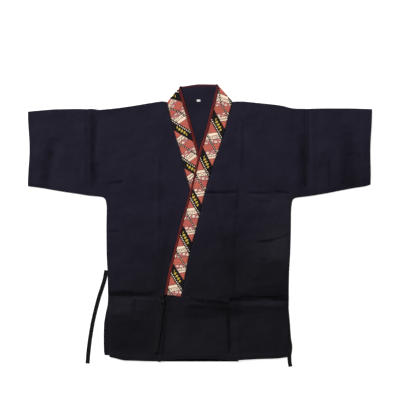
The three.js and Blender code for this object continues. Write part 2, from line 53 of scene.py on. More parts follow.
# Sizes in millimetres, in the frame's axes: +X to the wearer's left, +Y to the collar, +Z up
CLOTH = 1.2
BAND = 2.4
GAP = 0.3
BACK_TOP = CLOTH
FRONT_BOTTOM = BACK_TOP + GAP
OVER_FRONT = CLOTH + GAP
OVER_BAND = BAND + GAP
TURN_LEVEL = BAND + GAP
SEAM_X_RIGHT = -327.4
SEAM_X_LEFT = 317.7
BINDING_SHARE = 0.15
SEAM_OFFSET = 0.1
EDGES = ("seam", "free")


def table(names, rows):
    """Named columns of a short table, as arrays."""
    values = np.array(rows, float)
    return {name: values[:, index] for index, name in enumerate(names)}


# Collar band from the turn beside the neck to its lower end: sewn edge and bound free edge
COLLAR_COLUMNS = ("seam_x", "seam_y", "free_x", "free_y")
COLLAR_LEFT = table(COLLAR_COLUMNS, [
    (95.1, 352.4, 50.8, 402.4),
    (91.3, 342.0, 45.0, 380.0),
    (87.4, 328.5, 37.4, 347.0),
    (83.2, 313.2, 31.9, 327.7),
    (68.4, 256.7, 17.4, 269.7),
    (49.3, 198.7, -1.5, 211.7),
    (29.6, 143.6, -14.5, 153.7),
    (14.5, 88.5, -27.6, 98.6),
    (1.2, 34.8, -42.0, 46.4),
    (-12.2, -20.3, -57.4, -8.7),
    (-30.2, -86.1, -73.7, -75.4),
    (-42.6, -149.4, -89.9, -139.2),
    (-54.8, -214.6, -101.8, -207.6),
])
COLLAR_RIGHT = table(COLLAR_COLUMNS, [
    (-95.4, 351.5, -58.0, 396.7),
    (-92.8, 338.0, -52.0, 378.0),
    (-89.2, 322.0, -42.6, 345.0),
    (-84.0, 300.0, -32.2, 313.2),
    (-72.5, 255.2, -20.3, 268.3),
    (-58.0, 210.3, -7.3, 221.9),
    (-46.4, 159.5, 5.8, 172.6),
    (-31.9, 110.2, 18.9, 123.3),
    (-17.0, 55.0, 32.5, 67.0),
    (0.0, -10.0, 49.0, 1.0),
    (20.0, -90.0, 68.5, -79.5),
    (35.0, -150.0, 83.0, -140.0),
    (50.0, -213.0, 98.0, -206.0),
])

# Sections of each front from the hem up: inner and outer edge, and how far the hem's and the
# shoulder's own lines bend the section
SECTION_COLUMNS = ("inner_x", "inner_y", "outer_x", "outer_y", "hem", "top")
SKIRT_LEFT = [
    (-121.5, -397.0, 253.0, -396.5, 1, 0),
    (-120.3, -383.0, 256.0, -381.5, 0.8, 0),
    (-118.3, -366.0, 257.2, -362.0, 0.25, 0),
    (-113.5, -326.0, 256.4, -322.0, 0, 0),
    (-108.6, -284.0, 256.5, -282.0, 0, 0),
    (-105.6, -256.0, 257.0, -254.0, 0, 0),
    (-103.6, -238.0, 257.4, -238.0, 0, 0),
    (-102.6, -218.6, 257.6, -226.0, 0, 0),
]
SKIRT_RIGHT = [
    (112.0, -402.0, -263.0, -402.0, 1, 0),
    (111.4, -387.5, -263.2, -387.0, 0.8, 0),
    (110.6, -370.0, -263.5, -366.0, 0.25, 0),
    (109.0, -328.0, -264.0, -322.0, 0, 0),
    (106.5, -284.0, -264.5, -280.0, 0, 0),
    (104.0, -250.0, -265.4, -246.0, 0, 0),
    (101.0, -230.0, -266.2, -222.0, 0, 0),
    (99.0, -216.0, -266.8, -212.0, 0, 0),
]
# Along the collar's sewn edge, from its end up: place on that edge in collar rows, and the side edge
CHEST_LEFT = [
    (12, 257.8, -210.0), (11.7, 258.0, -190.0), (11, 258.8, -145.0), (10, 262.0, -88.0),
    (9, 264.0, -22.0), (8, 264.6, 32.0), (7.75, 266.0, 51.0), (7.5, 268.8, 65.0), (7.25, 276.0, 72.0),
    (7, SEAM_X_LEFT, 77.5), (6, SEAM_X_LEFT, 130.0), (5, SEAM_X_LEFT, 185.0), (4, SEAM_X_LEFT, 240.0),
    (3, SEAM_X_LEFT, 293.0), (2, SEAM_X_LEFT, 308.0), (1, SEAM_X_LEFT, 320.0), (0, SEAM_X_LEFT, 331.5),
]
CHEST_RIGHT = [
    (12, -267.4, -205.0), (11.7, -267.8, -188.0), (11, -268.6, -145.0), (10, -271.4, -88.0),
    (9, -272.0, -12.0), (8, -271.2, 42.0), (7.75, -272.6, 57.0), (7.5, -275.0, 67.0),
    (7.25, -281.5, 74.0), (7, SEAM_X_RIGHT, 79.4), (6, SEAM_X_RIGHT, 135.0), (5, SEAM_X_RIGHT, 188.0),
    (4, SEAM_X_RIGHT, 238.0), (3, SEAM_X_RIGHT, 286.0), (2, SEAM_X_RIGHT, 304.0),
    (1, SEAM_X_RIGHT, 318.0), (0, SEAM_X_RIGHT, 330.6),
]
TOP_WEIGHTS = {0: 1, 1: 0.6, 2: 0.3}
BAND_END_DROP = 0.4
BACK_SECTIONS = [
    (-277.4, -386.0, 249.0, -389.5, 1, 0),
    (-279.6, -368.0, 252.3, -366.0, 0.6, 0),
    (-280.0, -330.0, 254.8, -322.0, 0, 0),
    (-279.0, -296.0, 256.0, -300.0, 0, 0),
    (-274.0, -262.0, 257.0, -254.0, 0, 0),
    (-268.5, -235.0, 257.3, -226.0, 0, 0),
    (-267.2, -205.0, 257.5, -205.0, 0, 0),
    (-268.4, -145.0, 258.6, -145.0, 0, 0),
    (-271.0, -88.0, 261.8, -88.0, 0, 0),
    (-271.6, -12.0, 263.8, -22.0, 0, 0),
    (-270.8, 42.0, 264.4, 32.0, 0, 0),
    (-272.2, 57.0, 265.8, 51.0, 0, 0),
    (-274.6, 67.0, 268.6, 65.0, 0, 0),
    (-281.0, 74.3, 276.0, 71.8, 0, 0),
    (SEAM_X_RIGHT, 79.4, SEAM_X_LEFT, 77.5, 0, 0),
    (SEAM_X_RIGHT, 200.0, SEAM_X_LEFT, 200.0, 0, 0.1),
    (SEAM_X_RIGHT, 318.0, SEAM_X_LEFT, 319.0, 0, 0.85),
    (SEAM_X_RIGHT, 330.6, SEAM_X_LEFT, 331.5, 0, 1),
]
BACK_CORNER = 14

# How far the hem and the shoulder line depart from a straight section, along X
SHIFT_COLUMNS = ("x", "shift")
HEM_LEFT = table(SHIFT_COLUMNS, [
    (-121.5, -7), (-95, -1.5), (-50, 3), (0, 4), (60, 1.5), (97, -1.5), (132, 0), (170, 1.5),
    (225, 3.5), (250, 6.5),
])
HEM_RIGHT = table(SHIFT_COLUMNS, [
    (-263, 13), (-250, 10.5), (-233, 6), (-216, 3), (-181, 2), (-120, 0), (60, 0), (112, 0),
])
HEM_BACK = table(SHIFT_COLUMNS, [
    (-277, 2.5), (-262, 1), (-245, -3), (-216, -9), (-120, -11.5), (0, -2.7), (120, -7), (232, -1.6),
    (249, 1.5),
])
SHOULDER_LEFT = table(SHIFT_COLUMNS, [
    (95, 0), (132, 3.4), (167, 2.8), (201, 2.6), (236, 1.2), (271, -3.3), (306, -1), (318, 0),
])
SHOULDER_RIGHT = table(SHIFT_COLUMNS, [
    (-328, 0), (-320, 0), (-286, -5.6), (-251, -5.4), (-216, -4.1), (-181, -2), (-146, 1.1), (-112, 3),
    (-95, 0),
])
SHOULDER_BACK = table(SHIFT_COLUMNS, [
    (-327, 0), (-320, -0.3), (-286, -2.2), (-251, 1.1), (-216, 5.6), (-181, 10.8), (-146, 17), (-112, 22),
    (-97, 20.2), (97, 20.4), (132, 21), (167, 17.2), (201, 13.7), (236, 9), (271, 1.3), (306, 0.2), (318, 0),
])

# Creases of the upper cloth, as soft troughs (negative) and ridges: line, height, reach to each side
CREASE_COLUMNS = ("start_x", "start_y", "end_x", "end_y", "height", "reach")
CREASES = table(CREASE_COLUMNS, [
    # wearer's right sleeve and shoulder
    (-425, 246, -436, 190, -1.6, 21),
    (-432, 215, -450, 114, -2.6, 22),
    (-408, 215, -424, 112, 1.2, 24),
    (-386, 262, -404, 128, 0.7, 24),
    (-470, 210, -478, 130, 0.5, 18),
    (-350, 318, -352, 150, 0.5, 20),
    (-311, 325, -309, 92, -2.1, 16),
    (-303, 296, -300, 230, -1.2, 14),
    (-302, 175, -300, 120, -1.3, 15),
    (-290, 318, -288, 150, 0.5, 22),
    # wearer's right front
    (-123, 197, -124, 30, 0.7, 10),
    (-124, 30, -126, -107, 0.5, 9),
    (-112, 190, -113, -60, -0.6, 11),
    (-268, 112, -222, 118, -1.6, 9),
    (-250, 92, -205, 70, 0.4, 16),
    (-267, -27, -233, -24, -1.4, 6),
    (-196, 40, -236, -80, 0.6, 34),
    (-170, -135, -152, -136, -0.5, 7),
    (-165, -193, -145, -196, -0.6, 7),
    (-268, -206, -190, -209, -3.4, 13),
    (-246, -228, -192, -230, 1.9, 20),
    (-200, -209, -118, -209, -3.0, 12),
    (-196, -221, -150, -220, 1.0, 11),
    (-240, -256, -200, -258, 0.9, 22),
    (-190, -222, -191, -270, -0.8, 8),
    (-262, -274, -132, -267, -0.9, 15),
    (-232, -330, -178, -350, 0.5, 30),
    # wearer's left front
    (127, 299, 123, 140, -0.9, 9),
    (118, 290, 113, 150, 0.5, 10),
    (111, 125, 108, 35, -0.9, 8),
    (106, 28, 101, -110, -0.7, 8),
    (100, -112, 104, -205, -0.6, 7),
    (16, 88, 76, 85, -1.7, 7),
    (72, 85, 113, 90, -1.3, 7),
    (134, 87, 206, 84, -1.8, 7),
    (150, 74, 200, 73, 0.4, 8),
    (157, 62, 209, 61, -0.9, 7),
    (128, 54, 151, 54, -0.7, 6),
    (219, 90, 260, 85, -2.2, 8),
    (164, -56, 212, -52, -1.5, 7),
    (206, -52, 259, -35, -1.8, 5.4),
    (171, -107, 194, -107, -0.7, 7),
    (139, -151, 168, -171, -0.8, 8),
    (242, -154, 255, -153, -0.7, 6),
    (86, -226, 122, -224, -2.8, 9),
    (110, -223, 262, -219, -4.2, 12),
    (118, -240, 252, -236, 1.6, 15),
    (110, -262, 150, -262, -0.8, 8),
    (-31, -221, 17, -231, -1.9, 9),
    (15, -231, 92, -238, -2.4, 9),
    (-34, -248, 94, -254, -1.9, 17),
    (83, -255, 87, -378, -3.2, 5.6),
    (104, -290, 108, -380, 0.5, 12),
    (150, -266, 172, -263, -0.5, 7),
    (-60, -300, -66, -380, 0.4, 26),
    (190, -300, 214, -376, 0.5, 34),
    (60, 190, 190, 20, 0.7, 42),
    # wearer's left shoulder and sleeve
    (305, 322, 306, 96, -1.4, 12),
    (301, 262, 303, 96, -1.8, 18),
    (311, 322, 312, 99, 0.6, 9),
    (262, 326, 264, 255, -0.5, 6),
    (271, 326, 272, 258, -0.5, 6),
    (377, 188, 378, 100, -1.3, 6),
    (431, 262, 438, 190, -2.0, 26),
    (436, 205, 438, 104, -3.2, 29),
    (404, 215, 408, 110, 0.9, 22),
    (462, 250, 468, 120, 0.6, 22),
    (356, 300, 352, 190, 0.5, 26),
])

# Soft-edged patches of painted shade (negative) in hollows and painted light (positive) on lit bulges, with a
# painted shadow line beside the over front's edge: middle, half sizes, turn, tone
LIGHT_AND_SHADE_PATCHES = table(("x", "y", "half_x", "half_y", "turn", "tone"), [
    (-312, 282, 13, 34, 0, -0.2),
    (-313, 210, 7, 60, 0, -0.24),
    (-309, 144, 15, 40, 0, -0.22),
    (-442, 158, 19, 56, -14, -0.26),
    (-456, 118, 22, 26, 0, -0.1),
    (-392, 118, 36, 30, 0, 0.06),
    (-478, 250, 14, 60, 0, 0.05),
    (298, 168, 18, 84, 0, -0.2),
    (311, 222, 4, 74, 0, -0.22),
    (434, 164, 32, 84, 0, -0.25),
    (424, 118, 44, 22, 0, -0.12),
    (352, 250, 24, 70, 0, 0.04),
    (238, -8, 52, 104, 0, 0.17),
    (206, -70, 60, 44, 0, 0.11),
    (215, -194, 58, 16, 0, -0.3),
    (160, -208, 84, 8, 0, -0.3),
    (-196, -204, 66, 9, 0, -0.3),
    (-232, -243, 46, 26, 0, 0.13),
    (-204, -326, 62, 48, 0, -0.26),
    (-88, -120, 26, 150, -8, -0.34),
    (-118, -236, 24, 22, 0, -0.2),
    (28, -257, 82, 20, 0, -0.44),
    (96, -250, 24, 20, 0, -0.2),
    (130, -262, 70, 16, 0, -0.08),
    (-168, 96, 96, 24, 0, -0.1),
    (-176, -40, 92, 76, 0, -0.08),
    (-15, -332, 86, 46, 0, 0.05),
    (-106.5, -300, 7.5, 84, -3, -0.62),
    (84, -314, 10, 60, 0, -0.2),
    (92, -20, 30, 150, 0, -0.14),
    (20, 90, 60, 6, 0, -0.2),
    (-60, 332, 30, 10, 0, -0.1),
])
CROWN = 1.3
EDGE_TAPER = 0.1

# Long waves that leave pressed cloth slightly uneven: length, direction in degrees, height, phase
WAVE_COLUMNS = ("length", "turn", "height", "phase")
WAVES = table(WAVE_COLUMNS, [
    (126, 12, 0.46, 0.4), (91, 78, 0.34, 2.1), (64, 141, 0.24, 4.0), (47, 33, 0.17, 1.2),
    (33, 104, 0.11, 5.1), (25, 158, 0.07, 3.3), (18, 62, 0.04, 0.9),
])
WAVE_DRIFT = 0.9
WAVE_DRIFT_LENGTH = 260

# Where the over front's inner edge runs, left of which the under front shows
OVER_EDGE = table(("y", "x"), [
    (-404, -122), (-213, -102), (-8, -57), (100, -28), (209, -5), (404, 60),
])
PRESSED_MARGIN = 14
PRESSED_RAMP = 34

# Sleeves from the shoulder seam to the cuff
SLEEVE_COLUMNS = ("x", "top", "bottom", "rise", "bow", "slant")
SLEEVE_RIGHT = table(SLEEVE_COLUMNS, [
    (SEAM_X_RIGHT - SEAM_OFFSET, 330.8, 79.4, 0.5, 0, 0),
    (-337, 331.3, 81.0, 1.2, 0, 0),
    (-355, 331.6, 83.9, 1.6, 0, 0),
    (-378, 331.4, 87.2, 1.5, 0, 0),
    (-402, 331.0, 90.9, 1.5, 0, 0),
    (-425, 330.4, 94.7, 1.6, 0, 0),
    (-448, 328.6, 98.8, 1.6, 1, 0),
    (-471, 326.4, 102.4, 1.2, 3, 0),
    (-485, 325.2, 104.2, 1.2, 4, 0),
    (-499.5, 323.6, 106.0, 1.4, 5, 0),
])
SLEEVE_LEFT = table(SLEEVE_COLUMNS, [
    (SEAM_X_LEFT + SEAM_OFFSET, 331.8, 77.6, 0.5, 0, 0),
    (329, 332.4, 79.0, 1.2, 0, 0),
    (347, 332.9, 82.0, 1.5, 0, 0),
    (376, 333.2, 87.1, 1.4, 0, 0),
    (400, 333.1, 92.0, 1.4, 0, 0),
    (424, 333.1, 96.5, 1.6, 0, 0),
    (448, 332.8, 101.0, 1.6, 0, 0),
    (471, 332.0, 104.2, 1.2, 0.5, 1),
    (485, 331.6, 106.6, 1.2, 1, 2.6),
    (499.5, 331.0, 111.0, 1.4, 3, 4.6),
])
CUFF_HEM = 27
SEAM_ALLOWANCE = 14
BODY_HEM = 15

# Ties: points down the middle of each
TIE_WIDTH = 12
TIE_THICKNESS = 1.2
TIE_REST = TIE_THICKNESS / 2 + 0.05
TIE_ON_FRONT = FRONT_BOTTOM + OVER_FRONT + TIE_THICKNESS / 2
TIE_INSIDE = FRONT_BOTTOM + TIE_THICKNESS / 2
TIE_SIDE = [
    (-272.2, -137, TIE_REST), (-276.6, -162, TIE_REST), (-284.8, -189.5, TIE_REST),
    (-292.8, -214, TIE_REST), (-299.9, -240, TIE_REST), (-306.3, -265.6, TIE_REST),
    (-311.8, -291, TIE_REST), (-316.4, -317.6, TIE_REST), (-320.4, -344, TIE_REST),
    (-323.4, -369.5, TIE_REST), (-325.2, -388, TIE_REST), (-326.6, -408, TIE_REST),
]
TIE_COLLAR = [
    (-109, -206, TIE_ON_FRONT), (-110.4, -222, TIE_ON_FRONT), (-112.6, -240, TIE_ON_FRONT),
    (-115.2, -262, TIE_ON_FRONT), (-118, -288, TIE_ON_FRONT), (-120.4, -314, TIE_ON_FRONT),
    (-123.4, -340, TIE_ON_FRONT), (-126.4, -376, TIE_ON_FRONT),
]
TIE_INNER = [
    (249.5, -216, TIE_INSIDE), (250.4, -236, TIE_INSIDE), (252.4, -262, TIE_INSIDE),
    (254.8, -288, TIE_INSIDE), (256.8, -314, TIE_INSIDE), (259.0, -338, TIE_INSIDE),
    (262.0, -358, 2.3), (261.2, -372, 2.2), (259.4, -386, 1.5),
    (260.0, -402, 0.8), (262.8, -417, TIE_REST),
]
TIE_INNER_UNDER = [(243, -212), (258, -212), (264, -348), (250, -348)]

# In the values below, a swell is a size and a length, a groove or seam is a depth, a place and a width,
# a fade is a reach and a strength, and most other pairs are where a change starts and ends

# The strip's mesh, its twist, cup and stitched edges, the crumple of a gathered sewn end with painted shade
# in its folds and painted highlight on their ridges, pale edges, and painted shade along one side
TIE_STEP = 1.6
TIE_COLUMNS = 15
TIE_UNEVEN = (0.02, 31)
TIE_TWIST = (0.16, 13)
TIE_CUP = (0.1, 5.3)
TIE_GROOVE = (0.14, 0.76, 0.07)
TIE_EDGE_THICKNESS = 0.35
TIE_LIFT = 0.12
TIE_SAG = 0.1
TIE_CLEARANCE = 0.05
CRUMPLE_LENGTH = 34
CRUMPLE_NARROWING = 0.22
CRUMPLE_FAN = 0.36
CRUMPLE_FAN_REACH = 20
CRUMPLE_FAN_AT = 24
LOOSE_WIDENING = 0.22
LOOSE_WIDENING_AT = (170, 90)
LOOSE_FROM = (4, 16)
LOOSE_SWELL = (0.2, 17)
LOOSE_SAG = 0.5
FOLD_SLANT = 5.6
FOLD_LENGTH = 4.6
FOLD_HEIGHT = 2.0
FINE_FOLD_LENGTH = 2.9
FINE_FOLD_HEIGHT = 1.2
FINE_FOLD_SLANT = 3
FINE_FOLD_SHADE = 0.7
FOLD_LIFT = 0.9
FOLD_RIDGE_HIGHLIGHT = 0.8
TIE_EDGE_FADE = 0.35
TIE_SHADE = 0.25
TIE_SHADE_FROM = (0.5, 1)

# Inner corners of the under front's skirt, its sides' top and hem, and the grid on which layers lift
# the cloth above them
UNDER_SKIRT = [(112, -404), (99, -216)]
UNDER_TOP = 331
UNDER_HEM = -404
UNDERLAY_X = 345
UNDERLAY_Y = 426

# Unevenness along a crease: swells of its course, height and reach, each a size and a length. A short
# or narrow crease swings less than a full one, its ends fade, and a wide one gets less painted shade
CREASE_SWINGS = ((1.5, 33), (0.7, 10))
CREASE_SWELLS = ((0.2, 31), (0.16, 12.5))
CREASE_SPREADS = ((0.25, 23),)
CREASE_MEAN = 0.84
CREASE_FADE = 0.12
CREASE_END = 0.02
PAST_END = 0.01
FULL_SWING_LENGTH = 90
FULL_SWING_REACH = 10
FULL_SHADE_REACH = 10
SHADE_FALL = 1.4

# Painted shade in troughs and painted highlight on ridges, their limits, and the patches' soft edges with
# their ragged swings: size, and turns down and across the patch
TROUGH_SHADE = 0.27
RIDGE_HIGHLIGHT = 0.09
SHADING_LIMITS = (-0.78, 0.3)
PATCH_EDGE = (1.35, 0.55)
PATCH_RAGS = ((0.12, 9, 0), (0.08, 21, 5))

# Doubled hems, stitched grooves and the pulls beside stitches
HEM_RISE = 0.45
HEM_STEP = (-0.8, 1.6)
HEM_GROOVE = (0.28, -2, 1.1)
PUCKERS = ((1, 2.9), (0.6, 1.7), (0.5, 6.1))
PUCKER_PHASES = (0, 1.3, 0)
PUCKER_REACH = 5.5

# Cloth edges: places of the close rows beside an edge, its rounding, and the underside's share of it.
# SAME is a ripple's length in a direction in which its height doesn't change
CLOSE_PLACES = np.array([0.12, 0.4])
EDGE_ROUND = 0.5
UNDERSIDE_ROUND = 0.9
SAME = math.inf

# Back panel: mesh against the fronts' one, the part that shows in the neck, its rise to the neck seam,
# and the hem of the vent
BACK_MESH = 1.3
BACK_WIDTH = 560
NECK_SIDE = (60, 90)
NECK_SHOWN = (235, 300)
NECK_RIPPLES = ((0.15, 9, SAME), (0.1, 21, 13))
NECK_RIPPLE_SHARE = 0.6
NECK_RISE = 0.9
NECK_RISE_AT = (334, 348)
VENT_HEM = 7
VENT_START = (-205, -230)
VENT_X = -258
VENT_SHARE = 0.7
BACK_RIM = 0.6
BACK_FADE = (1.2, 0.2)

# Fronts: wall, side seam's ease, lift of the pressed cloth, and the finished edges of the skirt
FRONT_WIDTH = 372
FRONT_WALL = 1.05
FRONT_THINNEST = 0.3
FRONT_SAG = 0.2
FRONT_CREASES = 1.3
FRONT_LIFT = 0.7
FRONT_DIP = 1.1
FRONT_FADE = (1.3, 0.3)
CHEST_CORNER = 9
SEAM_EASE = 9
SKIRT_TOP = -214
SKIRT_EDGE_REACH = 60
INNER_EDGE_HEM = 8
INNER_EDGE_SHARE = 0.6
SIDE_HEM = 9
SIDE_HEM_SHARE = 0.8
BAND_SEAM = (0.35, 0, 2.2)
SIDE_SEAM = (0.3, 0, 2.5)
HEM_PUCKER = 0.05
BAND_STITCH = 3
BAND_PUCKER = 0.05
FAR = 99

# Sleeves: rows tucked into the shoulder seam, wall, rounded folds, lift and cuff
SLEEVE_TUCK = np.array([2.6, 2.0, 1.2, 0.5])
SLEEVE_DEPTH = 250
SLEEVE_CLOSING = (0.25, 0.375)
SLEEVE_EDGE = 1.35
SLEEVE_INSET = SLEEVE_EDGE + 0.2
SLEEVE_WALL = CLOTH - 0.15
SLEEVE_HOLLOW = 0.2
SLEEVE_INNER_EDGE = 0.3
SLEEVE_FOLD = 0.05
SLEEVE_BULGE = 0.7
SLEEVE_CREASES = 1.35
SLEEVE_WAVES = 1.1
SLEEVE_LIFT = 0.6
SLEEVE_DIP = 0.5
SLEEVE_RELIEF_FROM = (-4, 9)
TUCK_FROM = (0.6, -1.2)
TUCK_DROP = 1.1
SHOULDER_SEAM = (0.5, 0, 1.6)
ALLOWANCE_SHARE = 1.3
CUFF_START = 2
CUFF_PUCKER = 0.06
CUFF_FADE = (1.5, 0.3)
CUFF_ROUND = 0.45
FOLD_ANGLES = np.radians(np.linspace(-90, 90, 9)[1:-1])[None, :]

# Collar band: tail behind the turn, the turn, where the band is level again, and the ripples of its
# face: height, length along it and length across it
COLLAR_STEP = 3.2
TAIL = (5.0, 2.5)
TAIL_END = 0.05
TURN_ANGLES = np.radians(np.linspace(-90, 90, 15))
TURN_ROWS = len(TAIL) + len(TURN_ANGLES) + 1
TURN_PLACES = (0.18, 0.45)
TURN_PLACES_END = 0.5
LEVEL_FROM = (2.0, 3.0)
UNDERLAY_FROM = (330, 300)
FACE_UP = 0.99
SEWN_RIPPLES = ((0.16, 4.3, 9),)
SEWN_REACH = 9
BAND_RIPPLES = ((0.1, 7.7, -6), (0.12, 33, SAME))
BAND_FADE = 0.01
BAND_END = (0.8, 0.6)
COLLAR_BACK_RIPPLES = ((0.15, 8, SAME), (0.1, SAME, 5))
COLLAR_BACK_FADE = 0.03
COLLAR_BACK_ROWS = 50
COLLAR_BACK_SEAM_Y = 350.5
COLLAR_BACK_FREE_Y = 403.0
COLLAR_BACK_LOW = 1.7
BAND_SHARES = np.concatenate([[0, 0.006, 0.02], np.linspace(0.05, 0.82, 17), [0.838, 0.845, 0.848]])
BAND_WIDTH = 48
BAND_ROUND = 0.9
BAND_GROOVE = (0.16, 3, 0.9)
BINDING_SHARES = np.linspace(1 - BINDING_SHARE, 1, 11)
BINDING_ROUND = (0.25, 0.86)

# Blank tab in the back neck
TAB_X = -4.0
TAB_Y = 354.9
TAB_WIDTH = 10.4
TAB_HEIGHT = 6.0
TAB_THICKNESS = 0.5
TAB_COLUMNS = 25
TAB_ROWS = 15
TAB_ROUND = 0.24
TAB_CURL = 0.5
TAB_WAVE = (0.12, 2.2)
TAB_TOP = BAND + GAP + 0.75

# Stitches: distance of each row from the edge that it follows, and the close rows at the underarms
HEM_STITCH = 13.2
EDGE_STITCH = 6.0
SEAM_STITCH = 2.6
CUFF_STITCH = CUFF_HEM - 2.0
SHOULDER_STITCH = 3.0
SEWN_STITCH = 3.0
FREE_STITCH = 2.6
BINDING_STITCH = 1.6
TAB_STITCH = 1.0
EDGE_STITCH_TOP = -219
SEAM_STITCH_LOW = -205
TIE_STITCH_COLUMN = 2
VENT_STITCH_X = -275
VENT_STITCH_ROW = 10
VENT_STITCH_ROWS = slice(4, 40)
TACK_LEVEL = FRONT_BOTTOM + CLOTH + 0.4
TACKS = ((-266, 72), (260, 70))
TACK_WIDTH = 10
TACK_HEIGHT = 9
TACK_ROWS = 6
TACK_BOW = 0.4
STITCH_LIFT = 0.12
STITCH_UNEVEN = (0.86, 1.1)

# Stage, in metres
FLOOR_REACH = 6.0
LIGHT_SIZE = 2.4
LIGHT_PLACE = (-4.1, 7.0, 4.4)
LIGHT_AIM = (0, 0.05, 0)

# The photo's frame: 400 pixels of 2.9 mm, its middle this far up the jacket
VIEW_WIDTH = 1162
VIEW_MIDDLE_Y = 66.7
LENS = 60
SENSOR = 36

# What the panel's sizes and colours share
LENGTH = {"unit": "LENGTH"}
PAINT = {"subtype": "COLOR", "size": 3}


class JacketSizes(bpy.types.PropertyGroup):
    mesh_step: FloatProperty(
        name="Mesh step", description="Spacing of the cloth's vertices", default=3.4 * MM, min=MM, **LENGTH,
    )
    stitch_length: FloatProperty(
        name="Stitch length", description="Length of one stitch", default=2.4 * MM, **LENGTH,
    )
    stitch_pitch: FloatProperty(
        name="Stitch pitch", description="From one stitch to the next", default=3.3 * MM, **LENGTH,
    )
    thread: FloatProperty(
        name="Thread", description="Thickness of the sewing thread", default=0.45 * MM, **LENGTH,
    )
    print_repeat: FloatProperty(
        name="Print repeat", description="Length of the band's printed repeat", default=114 * MM, **LENGTH,
    )
    twill_pitch: FloatProperty(
        name="Twill pitch", description="Spacing of the twill lines", default=0.7 * MM, **LENGTH,
    )
    light: FloatProperty(
        name="Light", description="Strength of the large soft light, in watts", default=1900, min=0,
    )
    ambient: FloatProperty(
        name="Ambient", description="Strength of the even studio light", default=0.43, min=0,
    )
    glow: FloatProperty(
        name="Glow", description="Strength of the light table under the paper", default=0.75, min=0,
    )
    seed: IntProperty(name="Seed", description="Seed of the stitches' unevenness", default=7)


class JacketColours(bpy.types.PropertyGroup):
    indigo: FloatVectorProperty(
        name="Indigo", description="Twill of the body", default=(0.0119, 0.0101, 0.0200), **PAINT,
    )
    # Partly the twill's own blacker colour, mostly painted shade towards the lower right
    dusk: FloatVectorProperty(
        name="Dusk", description="Darker twill below the waist", default=(0.0068, 0.0064, 0.0094), **PAINT,
    )
    # Random deepest dyeing, and the painted shade in creases, folds and hollows
    deep_dye_and_shade: FloatVectorProperty(
        name="Ink", description="Deepest dye, in the folds", default=(0.0012, 0.0011, 0.0017), **PAINT,
    )
    # Pale edges, and painted highlight on ridges and lit bulges
    washed_and_highlight: FloatVectorProperty(
        name="Washed", description="Washed-out edges and ridges", default=(0.026, 0.026, 0.036), **PAINT,
    )
    strip: FloatVectorProperty(
        name="Strip", description="Cloth of the ties", default=(0.0054, 0.0052, 0.0068), **PAINT,
    )
    thread: FloatVectorProperty(
        name="Thread", description="Dark sewing thread", default=(0.006, 0.006, 0.009), **PAINT,
    )
    thread_light: FloatVectorProperty(
        name="Thread light", description="Lighter strands of the thread", default=(0.02, 0.02, 0.03), **PAINT,
    )
    coral: FloatVectorProperty(
        name="Coral", description="Ground of the print", default=(0.325, 0.083, 0.066), **PAINT,
    )
    rose: FloatVectorProperty(
        name="Rose", description="Pinker parts of the print's ground", default=(0.285, 0.060, 0.078), **PAINT,
    )
    orange: FloatVectorProperty(
        name="Orange", description="Triangles of the print", default=(0.40, 0.085, 0.040), **PAINT,
    )
    cream: FloatVectorProperty(
        name="Cream", description="Wave ground of the print", default=(0.69, 0.555, 0.425), **PAINT,
    )
    soot: FloatVectorProperty(
        name="Soot", description="Dark bars of the print", default=(0.0075, 0.0055, 0.0065), **PAINT,
    )
    yellow: FloatVectorProperty(
        name="Yellow", description="Diamonds on the bars", default=(0.40, 0.29, 0.05), **PAINT,
    )
    mauve: FloatVectorProperty(
        name="Mauve", description="Blossom ground of the print", default=(0.34, 0.105, 0.115), **PAINT,
    )
    umber: FloatVectorProperty(
        name="Umber", description="Fine lines of the print", default=(0.09, 0.045, 0.035), **PAINT,
    )
    binding: FloatVectorProperty(
        name="Binding", description="Red bias binding", default=(0.094, 0.0108, 0.0098), **PAINT,
    )
    binding_worn: FloatVectorProperty(
        name="Worn binding", description="Darker parts of the binding", default=(0.028, 0.006, 0.006),
        **PAINT,
    )
    # Painted shade on the binding behind the neck
    binding_dusk: FloatVectorProperty(
        name="Binding dusk", description="Binding behind the neck", default=(0.028, 0.009, 0.018), **PAINT,
    )
    tape: FloatVectorProperty(
        name="Tape", description="Blank white tab", default=(0.5, 0.5, 0.5), **PAINT,
    )
    paper: FloatVectorProperty(
        name="Paper", description="Pale floor", default=(0.42, 0.42, 0.42), **PAINT,
    )
    paper_light: FloatVectorProperty(
        name="Light paper", description="Paler places of the floor", default=(0.44, 0.44, 0.44), **PAINT,
    )


def sizes():
    return bpy.context.scene.jacket_sizes


def colours():
    return bpy.context.scene.jacket_colours


# Curves and heights

def pchip(knots, values, at):
    """Monotone cubic through the values, so that an edge never swings past its rows."""
    step = np.diff(knots)
    slope = np.diff(values) / step
    tangent = np.zeros(len(values))
    tangent[0], tangent[-1] = slope[0], slope[-1]
    product = slope[:-1] * slope[1:]
    total = slope[:-1] + slope[1:]
    bends = product > 0
    tangent[1:-1][bends] = 2 * product[bends] / total[bends]
    low = np.clip(np.searchsorted(knots, at, side="right") - 1, 0, len(step) - 1)
    part = (at - knots[low]) / step[low]
    rise = values[low + 1] - values[low]
    start, end = tangent[low] * step[low], tangent[low + 1] * step[low]
    bend = 3 * rise - 2 * start - end + part * (start + end - 2 * rise)
    return values[low] + part * (start + part * bend)


def smoothstep(low, high, value):
    """An eased step from 0 at the first bound to 1 at the second, which may be the lower one."""
    part = np.clip((value - low) / (high - low), 0, 1)
    return part * part * (3 - 2 * part)


def shift_at(shifts, x):
    """How far a hem or shoulder line departs from its section at points along it."""
    return pchip(shifts["x"], shifts["shift"], np.clip(x, shifts["x"][0], shifts["x"][-1]))


def swells(along, parts, phases):
    """Sum of sine swells along a line, each with its size, length and phase."""
    return sum(size * np.sin(along / length + phase) for (size, length), phase in zip(parts, phases))


